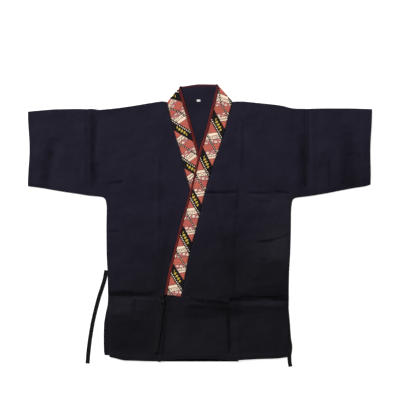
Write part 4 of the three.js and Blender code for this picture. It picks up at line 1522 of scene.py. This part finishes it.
def build_tie(name, points, bunch=0.0, loose=0.0):
    """A flat folded strip. Bunch is how far it is crumpled at its sewn end, loose how high it lies."""
    route, across, places = tie_frames(points, TIE_STEP)
    along = places[:, None]
    share = np.linspace(-1, 1, TIE_COLUMNS)[None, :]
    gathered = bunch * np.exp(-(along / CRUMPLE_LENGTH) ** 4)
    fanned = CRUMPLE_FAN * bell(along, CRUMPLE_FAN_REACH, CRUMPLE_FAN_AT)
    fanned = bunch * (fanned + LOOSE_WIDENING * smoothstep(*LOOSE_WIDENING_AT, along))
    half = TIE_WIDTH / 2 * (1 + fanned) * (1 - CRUMPLE_NARROWING * gathered)
    offset = share * half * (1 + swells(along, (TIE_UNEVEN,), (0,)))
    thick = TIE_THICKNESS / 2 * (1 - (1 - TIE_EDGE_THICKNESS) * share**8)

    slant = share * FOLD_SLANT + along / FOLD_LENGTH
    fold = FOLD_HEIGHT * np.cos(slant) + FINE_FOLD_HEIGHT * np.sin(along / FINE_FOLD_LENGTH) + FOLD_LIFT
    swell = 1 - LOOSE_SWELL[0] + swells(along, (LOOSE_SWELL,), (0,))
    raised = gathered * fold + loose * smoothstep(*LOOSE_FROM, along) * swell
    camber = swells(along, (TIE_TWIST,), (0,)) * share + swells(along, (TIE_CUP,), (0,)) * share**2
    lift = np.maximum(raised, 0) + TIE_LIFT + camber
    middle = route[:, None, :] + across[:, None, :] * offset[..., None]
    upper, lower = middle.copy(), middle.copy()
    upper[..., 2] += thick + lift - groove(np.abs(share), *TIE_GROOVE)
    lower[..., 2] += np.maximum(lift - TIE_SAG - loose * LOOSE_SAG, 0) - thick + TIE_CLEARANCE

    # Painted shade in the crumple's folds and painted highlight on their ridges, pale edges, and painted
    # shade along one side of the strip
    folds = np.sin(slant) + FINE_FOLD_SHADE * np.sin(along / FINE_FOLD_LENGTH - share * FINE_FOLD_SLANT)
    worn = share**12 * TIE_EDGE_FADE + gathered * np.where(folds < 0, folds, folds * FOLD_RIDGE_HIGHLIGHT)
    worn = worn - TIE_SHADE * smoothstep(*TIE_SHADE_FROM, -share)
    uv = np.stack(np.broadcast_arrays(along, offset), -1)
    strip = cloth_piece(name, upper, lower, "tie_cotton", "tie_cloth", uv=uv, worn=worn)
    SURFACES[name] = upper


def edge_fade(distance, fade):
    """Wear of a cloth's edge: its reach and its strength."""
    reach, strength = fade
    return bell(distance, reach) * strength


def build_back():
    """The back panel: its upper face shows in the neck and at the vent."""
    sections = table(SECTION_COLUMNS, BACK_SECTIONS)
    step = sizes().mesh_step / MM * BACK_MESH
    dense = dense_sections(sections, [BACK_CORNER], step)
    x, y, _ = section_grid(dense, even_steps(BACK_WIDTH, step), HEM_BACK, SHOULDER_BACK)
    left, right, bottom, top = edge_distances(x, y)
    nearest = np.minimum(np.minimum(left, right), np.minimum(bottom, top))
    behind_neck = 1 - smoothstep(*NECK_SIDE, np.abs(x))
    neck = smoothstep(*NECK_SHOWN, y) * behind_neck
    vent = hem_step(np.minimum(left, right), VENT_HEM) * smoothstep(*VENT_START, y)
    height = BACK_TOP + neck * ripples(x, y, NECK_RIPPLES) * NECK_RIPPLE_SHARE
    height = height + np.where(x < VENT_X, vent * VENT_SHARE, 0)
    height = height + NECK_RISE * smoothstep(*NECK_RISE_AT, y) * behind_neck
    upper, lower = sheet_from(x, y, height, CLOTH, turned_edge(nearest, EDGE_ROUND))
    lower[..., 2] = np.maximum(lower[..., 2], 0) * (nearest < BACK_RIM)
    worn = edge_fade(nearest, BACK_FADE)
    back = cloth_piece("back", upper, lower, "indigo_twill", "indigo_cloth", worn=worn)
    SURFACES["back"] = upper


def front_relief(x, y, place, edges, free):
    """Height of a front's pressed cloth, hems and seams over what it lies on."""
    inner, outer, bottom = edges
    taper = smoothstep(0, EDGE_TAPER, place) * smoothstep(0, EDGE_TAPER, 1 - place)
    crown = CROWN * np.sin(math.pi * place) * taper
    seam_ease = smoothstep(0, SEAM_EASE, inner) * smoothstep(0, SEAM_EASE, outer)
    relief = crown + (creases(x, y) * FRONT_CREASES + waves(x, y) + FRONT_LIFT) * seam_ease
    relief = soft_floor(relief, FRONT_DIP)
    hems = hem_step(bottom, BODY_HEM) + pucker(x, bottom, BODY_HEM, HEM_PUCKER)
    skirt, chest = y < SKIRT_TOP, y > SKIRT_TOP
    inner_edge = hem_step(inner, INNER_EDGE_HEM) * INNER_EDGE_SHARE * (skirt & (inner < SKIRT_EDGE_REACH))
    side_edge = hem_step(outer, SIDE_HEM) * SIDE_HEM_SHARE * (skirt & (outer < SKIRT_EDGE_REACH))
    seams = groove(inner, *BAND_SEAM) * chest + groove(outer, *SIDE_SEAM)
    pulls = pucker(y, inner, BAND_STITCH, BAND_PUCKER)
    return (relief + hems + inner_edge + side_edge - seams + pulls) * free


def build_front(name, skirt, chest, collar, hem, shoulder, over):
    """A front panel. The over front lies on the under front, which is pressed flat beneath it."""
    sections = front_sections(skirt, chest, collar, 1 if over else -1)
    last_skirt = len(skirt) - 1
    step = sizes().mesh_step / MM
    dense = dense_sections(sections, [last_skirt, last_skirt + 1, len(skirt) + CHEST_CORNER], step)
    x, y, place = section_grid(dense, even_steps(FRONT_WIDTH, step), hem, shoulder)
    inner, outer, bottom, top = edge_distances(x, y)
    free = np.ones(x.shape) if over else shown_share(x, y)
    lift = UNDER_OVER_FRONT.at(x, y) if over else 0.0
    height = FRONT_BOTTOM + lift + front_relief(x, y, place, (inner, outer, bottom), free) + CLOTH
    nearest = np.minimum(np.minimum(inner, outer), np.minimum(bottom, top))
    upper, lower = sheet_from(x, y, height, FRONT_WALL, turned_edge(nearest, EDGE_ROUND))
    lowest = np.minimum(FRONT_BOTTOM - FRONT_SAG + lift, upper[..., 2] - FRONT_THINNEST)
    lower[..., 2] = np.maximum(lower[..., 2], lowest)
    free_side = np.where(y < SKIRT_TOP, outer, FAR)
    # Pale hem and side edges, with painted shade in creases and hollows and painted highlight on ridges and
    # lit bulges
    worn = edge_fade(np.minimum(bottom, free_side), FRONT_FADE) + painted_shading(x, y) * free
    cloth = cloth_piece(name, upper, lower, "indigo_twill", "indigo_cloth", worn=worn)
    SURFACES[name] = upper


def tube_edge(edge_x, edge_y, outwards, radius, z_low, z_high):
    """A half round along one edge of a flat tube, from its lower to its upper layer."""
    middle, half = (z_low + z_high) / 2, (z_high - z_low) / 2
    y = edge_y + outwards * radius * np.cos(FOLD_ANGLES)
    z = middle + half * np.sin(FOLD_ANGLES)
    return np.stack([np.broadcast_to(edge_x, y.shape), y, z], -1)


def tube_ring(x, y, z_under, z_over, radius):
    """Rings of a flat tube: its lower layer, its far fold, its upper layer and its near fold."""
    under = np.stack([x, y, np.broadcast_to(z_under, x.shape)], -1)
    over = np.stack([x, y, z_over], -1)
    far = tube_edge(x[:, -1:], y[:, -1:], 1, radius, z_under, z_over[:, -1:])
    near_edge = tube_edge(x[:, :1], y[:, :1], -1, radius, z_under, z_over[:, :1])
    return np.concatenate([under, far, over[:, ::-1], near_edge[:, ::-1]], axis=1)


def sleeve_places(knots, step):
    """Places along a sleeve, with rows tucked into the shoulder seam, and across it, closer at its folds."""
    length = knots[-1] - knots[0]
    along = knots[0] + length * edge_places(even_steps(length, step))
    along = np.concatenate([knots[0] - SLEEVE_TUCK, along])
    steps = even_steps(SLEEVE_DEPTH, step)
    cosine, even = SLEEVE_CLOSING
    across = 0.5 - 0.5 * np.cos(np.linspace(0, math.pi, steps)) * cosine + np.linspace(-even, even, steps)
    return along, ((across - across.min()) / (across.max() - across.min()))[None, :]


def build_sleeve(name, rows):
    """A sleeve tube pressed flat, with a fold along the top and a turned cuff."""
    side = math.copysign(1, rows["x"][0])
    knots = np.abs(rows["x"])
    along, share = sleeve_places(knots, sizes().mesh_step / MM)
    places = along[:, None]
    row = {key: pchip(knots, rows[key], np.maximum(along, knots[0]))[:, None] for key in rows if key != "x"}
    depth = row["top"] - row["bottom"]
    y = row["bottom"] + SLEEVE_INSET + share * (depth - 2 * SLEEVE_INSET)
    whole = (y - row["bottom"]) / depth
    x = side * (places - row["bow"] * np.sin(math.pi * whole) ** 2 - row["slant"] * (1 - whole))

    cuff = along[-1] - places
    seam = np.maximum(places - knots[0], 0)
    tucked = smoothstep(knots[0] + TUCK_FROM[0], knots[0] + TUCK_FROM[1], places)
    fold_ease = smoothstep(0, SLEEVE_FOLD, share) * smoothstep(0, SLEEVE_FOLD, 1 - share)
    pressed = creases(x, y) * SLEEVE_CREASES + waves(x, y) * SLEEVE_WAVES + SLEEVE_LIFT
    bulge = row["rise"] * np.sin(math.pi * share) ** SLEEVE_BULGE
    relief = soft_floor(bulge + pressed * fold_ease, SLEEVE_DIP) * smoothstep(*SLEEVE_RELIEF_FROM, seam)
    relief = relief + hem_step(cuff, CUFF_HEM) * smoothstep(0, CUFF_START, cuff + CUFF_START)
    relief = relief + pucker(y, cuff, CUFF_HEM, CUFF_PUCKER) - groove(seam, *SHOULDER_SEAM)
    relief = relief + hem_step(seam, SEAM_ALLOWANCE) * ALLOWANCE_SHARE
    top = 2 * CLOTH + GAP + relief - TUCK_DROP * tucked

    outer = tube_ring(x, y, 0.0, top, SLEEVE_EDGE)
    inner_top = np.maximum(top - SLEEVE_WALL, SLEEVE_WALL + SLEEVE_HOLLOW)
    inner = tube_ring(x, y, SLEEVE_WALL, inner_top, SLEEVE_INNER_EDGE)
    rounding = np.clip(turned_edge(cuff, EDGE_ROUND)[..., None], 0, CUFF_ROUND)
    centre = (outer + inner) / 2
    outer, inner = outer + (centre - outer) * rounding, inner + (centre - inner) * rounding
    # Pale cuff, and on the upper layer painted shade in creases and hollows and painted highlight on ridges
    # and lit bulges
    worn = np.broadcast_to(edge_fade(cuff, CUFF_FADE), outer.shape[:2]).copy()
    upper_layer = x.shape[1] + FOLD_ANGLES.size
    worn[:, upper_layer:upper_layer + x.shape[1]] += painted_shading(x, y)[:, ::-1]
    cloth = cloth_piece(name, outer, inner, "indigo_twill", "indigo_cloth", ring=True, worn=worn)
    SURFACES[name] = np.stack([x, y, top], -1)


def turn_directions(rows):
    """Unit vector square to the collar's turn, and the way along the neck seam behind it."""
    along = np.array([rows["free_x"][0] - rows["seam_x"][0], rows["free_y"][0] - rows["seam_y"][0], 0])
    along /= np.linalg.norm(along)
    outward = np.array([-along[1], along[0], 0])
    if outward[1] < 0:
        outward = -outward
    return outward, np.array([-1 / outward[0], 0, 0])


def collar_places(rows, step):
    """Places along a collar front in its rows, close at the turn and then a step apart."""
    places = list(TURN_PLACES)
    lengths = np.hypot(np.diff(rows["seam_x"]), np.diff(rows["seam_y"]))
    for knot, length in enumerate(lengths):
        count = even_steps(length, step)
        places.extend(place for place in knot + (np.arange(count) + 1) / count if place > TURN_PLACES_END)
    return np.array(places)


def collar_rows(rows, step):
    """Middle lines and face directions of a collar front, from its tail behind the neck downwards."""
    outward, behind = turn_directions(rows)
    radius = GAP / 2 + BAND / 2
    reach = GAP / 2 + BAND
    turn = [np.array([rows[f"{edge}_x"][0], rows[f"{edge}_y"][0], reach]) + behind * reach for edge in EDGES]
    lines, faces = [], []
    for back in TAIL:
        low = np.array([0, 0, -radius]) + behind * back
        lines.append([point + low for point in turn])
        faces.append((0, 0, -1))
    for angle in TURN_ANGLES:
        face = outward * math.cos(angle) + np.array([0, 0, math.sin(angle)])
        lines.append([point + face * radius for point in turn])
        faces.append(tuple(face))
    places = collar_places(rows, step)
    knots = np.arange(len(rows["seam_x"]), dtype=float)
    line = {key: pchip(knots, values, places) for key, values in rows.items()}
    level = TURN_LEVEL + (FRONT_BOTTOM - TURN_LEVEL) * smoothstep(*LEVEL_FROM, places) + BAND / 2
    for number, height in enumerate(level):
        points = ((line[f"{edge}_x"][number], line[f"{edge}_y"][number], height) for edge in EDGES)
        lines.append([np.array(point) for point in points])
        faces.append((0, 0, 1))
    seams, frees = (np.array(points) for points in zip(*lines))
    return seams, frees, np.array(faces)


def strip_grids(seams, frees, faces, shares, half_thickness, lift=None):
    """Upper and lower points of a strip between two shares of the band's width."""
    share = shares[None, :, None]
    middle = seams[:, None, :] * (1 - share) + frees[:, None, :] * share
    if lift:
        middle[..., 2] += lift(middle[..., 0], middle[..., 1]) * (faces[:, None, 2] > FACE_UP)
    half = faces[:, None, :] * half_thickness[None, :, None]
    return middle + half, middle - half


def strip_uv(seams, frees, shares, sense=1):
    """Places on the cut strip: millimetres along it, which run on round the neck, and across it."""
    middle = (seams + frees) / 2
    along = sense * np.concatenate([[0], np.cumsum(np.linalg.norm(np.diff(middle, axis=0), axis=1))])
    width = np.linalg.norm(frees - seams, axis=1)
    return np.stack(np.broadcast_arrays(along[:, None], shares[None, :] * width[:, None]), -1)


def end_fade(shares, reach):
    """0 at both edges of a strip and 1 a reach further in."""
    return smoothstep(0, reach, shares - shares[0]) * smoothstep(0, reach, shares[-1] - shares)


def band_profile(shares):
    """Half thickness of the folded band: rounded at its edges, with a shallow stitched line."""
    edge = np.minimum(shares - shares[0], shares[-1] - shares) * BAND_WIDTH
    return BAND / 2 - turned_edge(edge, BAND_ROUND) - groove(edge, *BAND_GROOVE)


def binding_profile(shares):
    """Half thickness of the rolled binding."""
    part = (shares - shares[0]) / (shares[-1] - shares[0]) * 2 - 1
    thin, full = BINDING_ROUND
    return BAND / 2 * (thin + full * np.sqrt(np.clip(1 - part**4, 0, 1)))


def over_lift(x, y):
    """How far the over front's band is lifted by what it lies on, below its turn."""
    return UNDER_OVER_FRONT.at(x, y) * smoothstep(*UNDERLAY_FROM, y)


def build_collar_front(side, rows, over):
    """One front of the collar band and its binding, from behind the neck to its lower end."""
    seams, frees, faces = collar_rows(rows, COLLAR_STEP)
    face_up = faces[:, None, 2] > FACE_UP
    for part, shares, profile, finish, slot, flat in (
        ("collar", BAND_SHARES, band_profile, "printed_cotton", "printed_band", (0.041, 0.64)),
        ("binding", BINDING_SHARES, binding_profile, "bias_cotton", "red_binding", (0.0105, 0.64)),
    ):
        upper, lower = strip_grids(seams, frees, faces, shares, profile(shares), over_lift if over else None)
        uv = strip_uv(seams, frees, shares, 1 if over else -1)
        along, across = uv[..., 0], uv[..., 1]
        ripple = ripples(along, across, SEWN_RIPPLES) * bell(across, SEWN_REACH)
        ripple = ripple + ripples(along, across, BAND_RIPPLES)
        upper[..., 2] += ripple * face_up * end_fade(shares, BAND_FADE)[None, :]
        if part == "collar":
            upper[-1, :, 2] -= BAND_END[0]
            lower[-1, :, 2] += BAND_END[1]
        name = f"{part}_{side}"
        strip = cloth_piece(name, upper, lower, finish, slot, uv=uv)
        SURFACES[name] = upper


def neck_end(collar):
    """Sewn and free end of the band behind the neck, where a collar front's tail begins."""
    _, behind = turn_directions(collar)
    offset = behind * (GAP / 2 + BAND + TAIL[0] + TAIL_END)
    seam, free = (np.array([collar[f"{edge}_x"][0], collar[f"{edge}_y"][0], 0]) + offset for edge in EDGES)
    seam[1] -= COLLAR_BACK_LOW
    return seam, free


def build_collar_back():
    """The band behind the neck: its plain inner face is up, and its top edge is bound."""
    middle = (np.array([0, COLLAR_BACK_SEAM_Y, 0]), np.array([0, COLLAR_BACK_FREE_Y, 0]))
    knots = np.array([0, 0.5, 1])
    places = np.linspace(0, 1, COLLAR_BACK_ROWS)
    lines = []
    for edge in zip(neck_end(COLLAR_RIGHT), middle, neck_end(COLLAR_LEFT)):
        line = np.stack([pchip(knots, values, places) for values in np.array(edge).T], 1)
        line[:, 2] = BAND / 2
        lines.append(line)
    faces = np.tile((0.0, 0.0, 1.0), (len(places), 1))
    for name, shares, profile, finish, slot, flat in (
        ("collar_back", BAND_SHARES, band_profile, "indigo_twill", "indigo_cloth", (0.15, 0.041)),
        ("binding_back", BINDING_SHARES, binding_profile, "bias_cotton", "red_binding", (0.105, 0.0105)),
    ):
        upper, lower = strip_grids(*lines, faces, shares, profile(shares))
        ripple = ripples(upper[..., 0], upper[..., 1], COLLAR_BACK_RIPPLES)
        upper[..., 2] += ripple * end_fade(shares, COLLAR_BACK_FADE)
        strip = cloth_piece(name, upper, lower, finish, slot, uv=strip_uv(*lines, shares))
        SURFACES[name] = upper


def build_tab():
    """The blank white tab, sewn along its upper edge and curled a little."""
    across = np.linspace(-TAB_WIDTH / 2, TAB_WIDTH / 2, TAB_COLUMNS)
    up = np.linspace(-TAB_HEIGHT / 2, TAB_HEIGHT / 2, TAB_ROWS)
    x, y = np.meshgrid(across, up)
    wave, wave_length = TAB_WAVE
    curl = TAB_CURL * np.clip(-y / TAB_HEIGHT, 0, 1) ** 2 + wave * np.cos(x / wave_length)
    nearest = np.minimum(TAB_WIDTH / 2 - np.abs(x), TAB_HEIGHT / 2 - np.abs(y))
    drop = turned_edge(nearest, TAB_ROUND)
    upper, lower = sheet_from(x + TAB_X, y + TAB_Y, TAB_TOP + curl, TAB_THICKNESS, drop)
    cloth_piece("size_tab", upper, lower, "tab_tape", "white_tape")
    SURFACES["size_tab"] = upper


# Stitches

def row_near(distances, wanted):
    """Number of the row whose distance comes closest."""
    return int(np.argmin(np.abs(distances - wanted)))


def grid_row(name, distance, from_end=False, skip=2):
    """A line of points on a panel, parallel to its first or last section."""
    grid = SURFACES[name]
    middle = grid.shape[1] // 2
    reference = grid[-1 if from_end else 0, middle]
    gaps = np.linalg.norm(grid[:, middle] - reference, axis=1)
    return grid[row_near(gaps, distance), skip:-skip]


def grid_column(name, distance, from_end=False, low=-math.inf, high=math.inf):
    """A line of points on a panel that keeps its distance from the panel's inner or outer edge."""
    line = []
    for row in SURFACES[name]:
        start = row[-1 if from_end else 0]
        if low <= start[1] <= high:
            gaps = np.linalg.norm(row[:, :2] - start[:2], axis=1)
            order = np.argsort(gaps)
            line.append([np.interp(distance, gaps[order], row[order, axis]) for axis in range(3)])
    return np.array(line)


def bar_tack(x, y):
    """Close rows of stitches that strengthen an underarm corner."""
    half = TACK_WIDTH / 2
    for at_y in y + np.linspace(-TACK_HEIGHT / 2, TACK_HEIGHT / 2, TACK_ROWS):
        row = ((x - half, at_y), (x, at_y + TACK_BOW), (x + half, at_y))
        yield np.array([(*point, TACK_LEVEL) for point in row])


def stitch_lines():
    """Every line that a row of stitches follows, in millimetres."""
    lines = [
        grid_row("front_right", HEM_STITCH),
        grid_row("front_left", HEM_STITCH),
        grid_column("front_left", EDGE_STITCH, high=EDGE_STITCH_TOP),
        grid_column("front_left", SEAM_STITCH, low=SEAM_STITCH_LOW),
        grid_column("front_right", SEAM_STITCH, low=SEAM_STITCH_LOW),
    ]
    for name in ("sleeve_right", "sleeve_left"):
        lines.append(grid_row(name, CUFF_STITCH, from_end=True))
        lines.append(grid_row(name, SHOULDER_STITCH))
    for name in ("collar_right", "collar_left"):
        lines.append(grid_column(name, SEWN_STITCH)[TURN_ROWS:])
        lines.append(grid_column(name, FREE_STITCH, from_end=True)[TURN_ROWS:])
    lines.append(grid_column("collar_back", SEWN_STITCH))
    for name in ("binding_right", "binding_left"):
        lines.append(grid_column(name, BINDING_STITCH)[TURN_ROWS:])
    lines.append(grid_column("binding_back", BINDING_STITCH))
    for name in ("tie_side", "tie_collar", "tie_inner"):
        grid = SURFACES[name]
        lines.extend((grid[:, TIE_STITCH_COLUMN], grid[:, -1 - TIE_STITCH_COLUMN]))
    lines.append(grid_row("size_tab", TAB_STITCH, from_end=True))
    for corner in TACKS:
        lines.extend(bar_tack(*corner))
    back = SURFACES["back"]
    column = row_near(back[VENT_STITCH_ROW, :, 0], VENT_STITCH_X)
    lines.append(back[VENT_STITCH_ROWS, column])
    return lines


def stitch_tree():
    """Geometry Nodes: short rounded stitches along every line, laid in its direction."""
    tree = bpy.data.node_groups.new("running_stitches", "GeometryNodeTree")
    sockets = (
        ("Lines", "INPUT", "NodeSocketGeometry"),
        ("Stitch length", "INPUT", "NodeSocketFloat"),
        ("Stitch pitch", "INPUT", "NodeSocketFloat"),
        ("Thread", "INPUT", "NodeSocketFloat"),
        ("Seed", "INPUT", "NodeSocketInt"),
        ("Material", "INPUT", "NodeSocketMaterial"),
        ("Stitches", "OUTPUT", "NodeSocketGeometry"),
    )
    for name, side, kind in sockets:
        socket = tree.interface.new_socket(name, in_out=side, socket_type=kind)
        if kind == "NodeSocketFloat":
            socket.subtype = "DISTANCE"

    def add(kind, settings=(), **links):
        """One node: its settings, and values or links for its sockets, by name or i and number."""
        node = tree.nodes.new(kind)
        for setting, value in dict(settings).items():
            setattr(node, setting, value)
        for key, value in links.items():
            socket = node.inputs[int(key[1:]) if key[1:].isdigit() else key.replace("_", " ")]
            if isinstance(value, bpy.types.NodeSocket):
                tree.links.new(value, socket)
            else:
                socket.default_value = value
        return node.outputs

    given = add("NodeGroupInput")
    curves = add("GeometryNodeMeshToCurve", Mesh=given["Lines"])[0]
    even = add("GeometryNodeResampleCurve", {"mode": "LENGTH"}, Curve=curves, Length=given["Stitch pitch"])[0]
    points = add("GeometryNodeCurveToPoints", {"mode": "EVALUATED"}, Curve=even)
    capsule = add("GeometryNodeMeshUVSphere", Segments=6, Rings=4, Radius=0.5)["Mesh"]
    turned = add("FunctionNodeAlignRotationToVector", {"axis": "X"}, Vector=points["Tangent"])[0]
    least, most = STITCH_UNEVEN
    uneven = add("FunctionNodeRandomValue", {"data_type": "FLOAT"}, Seed=given["Seed"], i2=least, i3=most)[1]
    length = add("ShaderNodeMath", {"operation": "MULTIPLY"}, i0=given["Stitch length"], i1=uneven)[0]
    scale = add("ShaderNodeCombineXYZ", X=length, Y=given["Thread"], Z=given["Thread"])[0]
    stitches = add(
        "GeometryNodeInstanceOnPoints", Points=points["Points"], Instance=capsule,
        Rotation=turned, Scale=scale,
    )[0]
    real = add("GeometryNodeRealizeInstances", Geometry=stitches)[0]
    finished = add("GeometryNodeSetMaterial", Geometry=real, Material=given["Material"])[0]
    smooth = add("GeometryNodeSetShadeSmooth", Geometry=finished)[0]
    add("NodeGroupOutput", Stitches=smooth)
    return tree


def build_stitches():
    """All rows of stitches as one piece, made by the nodes and then kept as a mesh."""
    size = sizes()
    points, edges = [], []
    for line in stitch_lines():
        start = len(points)
        raised = line + np.array([0, 0, size.thread / MM * STITCH_LIFT])
        points.extend((raised * MM).tolist())
        edges.extend((start + number, start + number + 1) for number in range(len(line) - 1))
    mesh = bpy.data.meshes.new("stitch_lines")
    mesh.from_pydata(points, edges, [])
    guide = add_object("stitch_lines", mesh)
    tree = stitch_tree()
    modifier = guide.modifiers.new("stitches", "NODES")
    modifier.node_group = tree
    values = {
        "Stitch length": size.stitch_length, "Stitch pitch": size.stitch_pitch, "Thread": size.thread,
        "Seed": size.seed, "Material": material("sewing_thread"),
    }
    for item in tree.interface.items_tree:
        if item.name in values:
            modifier[item.identifier] = values[item.name]
    bpy.context.view_layer.update()
    evaluated = guide.evaluated_get(bpy.context.evaluated_depsgraph_get())
    stitches = bpy.data.meshes.new_from_object(evaluated)
    guide.modifiers.remove(modifier)
    bpy.data.objects.remove(guide)
    shape = add_object("stitches", stitches)
    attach(shape, "root")


# Stage

def area_light(name, energy):
    """A large square light that looks at the jacket."""
    light = bpy.data.lights.new(name, "AREA")
    light.shape = "SQUARE"
    light.size = LIGHT_SIZE
    light.energy = energy
    lamp = add_object(name, light)
    lamp.location = LIGHT_PLACE
    lamp.rotation_euler = (Vector(LIGHT_AIM) - Vector(LIGHT_PLACE)).to_track_quat("-Z", "Y").to_euler()


def build_stage():
    """Camera, paper on a light table, even studio light and one large soft light."""
    scene = bpy.context.scene
    scene.view_settings.view_transform = "Standard"
    camera = bpy.data.cameras.new("camera")
    camera.lens = LENS
    camera.sensor_width = SENSOR
    scene.camera = add_object("camera", camera)
    scene.camera.location = (0, VIEW_MIDDLE_Y * MM, VIEW_WIDTH * MM * LENS / SENSOR)

    mesh = bpy.data.meshes.new("floor")
    corners = [(-FLOOR_REACH, -FLOOR_REACH, 0), (FLOOR_REACH, -FLOOR_REACH, 0),
               (FLOOR_REACH, FLOOR_REACH, 0), (-FLOOR_REACH, FLOOR_REACH, 0)]
    mesh.from_pydata(corners, [], [(0, 1, 2, 3)])
    mesh.materials.append(pale_paper())
    add_object("floor", mesh)

    world = bpy.data.worlds.new("studio")
    world.use_nodes = True
    sky = next(node for node in world.node_tree.nodes if node.type == "BACKGROUND")
    sky.inputs["Color"].default_value = (1, 1, 1, 1)
    sky.inputs["Strength"].default_value = sizes().ambient
    scene.world = world
    area_light("key", sizes().light)


# Operators

class JACKET_OT_stage(bpy.types.Operator):
    """Adds the pale floor, the soft light and the camera above the jacket"""

    bl_idname = "jacket.stage"
    bl_label = "Stage"

    def execute(self, context):
        build_stage()
        return {"FINISHED"}


class JACKET_OT_ties(bpy.types.Operator):
    """Adds the three cloth ties"""

    bl_idname = "jacket.ties"
    bl_label = "Ties"

    def execute(self, context):
        build_tie("tie_side", TIE_SIDE)
        build_tie("tie_collar", TIE_COLLAR, bunch=1.0, loose=1.6)
        build_tie("tie_inner", TIE_INNER)
        return {"FINISHED"}


class JACKET_OT_back(bpy.types.Operator):
    """Adds the back panel"""

    bl_idname = "jacket.back"
    bl_label = "Back"

    def execute(self, context):
        build_back()
        return {"FINISHED"}


class JACKET_OT_fronts(bpy.types.Operator):
    """Adds the under front and the over front"""

    bl_idname = "jacket.fronts"
    bl_label = "Fronts"

    def execute(self, context):
        build_front("front_right", SKIRT_RIGHT, CHEST_RIGHT, COLLAR_RIGHT, HEM_RIGHT, SHOULDER_RIGHT, False)
        build_front("front_left", SKIRT_LEFT, CHEST_LEFT, COLLAR_LEFT, HEM_LEFT, SHOULDER_LEFT, True)
        return {"FINISHED"}


class JACKET_OT_sleeves(bpy.types.Operator):
    """Adds both sleeves"""

    bl_idname = "jacket.sleeves"
    bl_label = "Sleeves"

    def execute(self, context):
        build_sleeve("sleeve_right", SLEEVE_RIGHT)
        build_sleeve("sleeve_left", SLEEVE_LEFT)
        return {"FINISHED"}


class JACKET_OT_collar(bpy.types.Operator):
    """Adds the collar band and its binding"""

    bl_idname = "jacket.collar"
    bl_label = "Collar"

    def execute(self, context):
        build_collar_front("right", COLLAR_RIGHT, False)
        build_collar_front("left", COLLAR_LEFT, True)
        build_collar_back()
        return {"FINISHED"}


class JACKET_OT_tab(bpy.types.Operator):
    """Adds the blank white tab in the back neck"""

    bl_idname = "jacket.tab"
    bl_label = "Tab"

    def execute(self, context):
        build_tab()
        return {"FINISHED"}


class JACKET_OT_stitches(bpy.types.Operator):
    """Adds the rows of stitches"""

    bl_idname = "jacket.stitches"
    bl_label = "Stitches"

    def execute(self, context):
        build_stitches()
        return {"FINISHED"}


STEPS = (
    JACKET_OT_stage, JACKET_OT_ties, JACKET_OT_back, JACKET_OT_fronts, JACKET_OT_sleeves, JACKET_OT_collar,
    JACKET_OT_tab, JACKET_OT_stitches,
)


class JACKET_PT_panel(bpy.types.Panel):
    """Lists the steps of the jacket"""

    bl_idname = "JACKET_PT_panel"
    bl_label = "Jacket"
    bl_space_type = "VIEW_3D"
    bl_region_type = "UI"
    bl_category = "Jacket"

    def draw(self, context):
        for step in STEPS:
            self.layout.operator(step.bl_idname)


CLASSES = (JacketSizes, JacketColours, *STEPS, JACKET_PT_panel)


def register():
    for cls in CLASSES:
        bpy.utils.register_class(cls)
    bpy.types.Scene.jacket_sizes = PointerProperty(type=JacketSizes)
    bpy.types.Scene.jacket_colours = PointerProperty(type=JacketColours)


def unregister():
    del bpy.types.Scene.jacket_colours
    del bpy.types.Scene.jacket_sizes
    for cls in reversed(CLASSES):
        bpy.utils.unregister_class(cls)


def main():
    register()
    for step in STEPS:
        group, name = step.bl_idname.split(".")
        getattr(getattr(bpy.ops, group), name)()


if __name__ == "__main__":
    main()
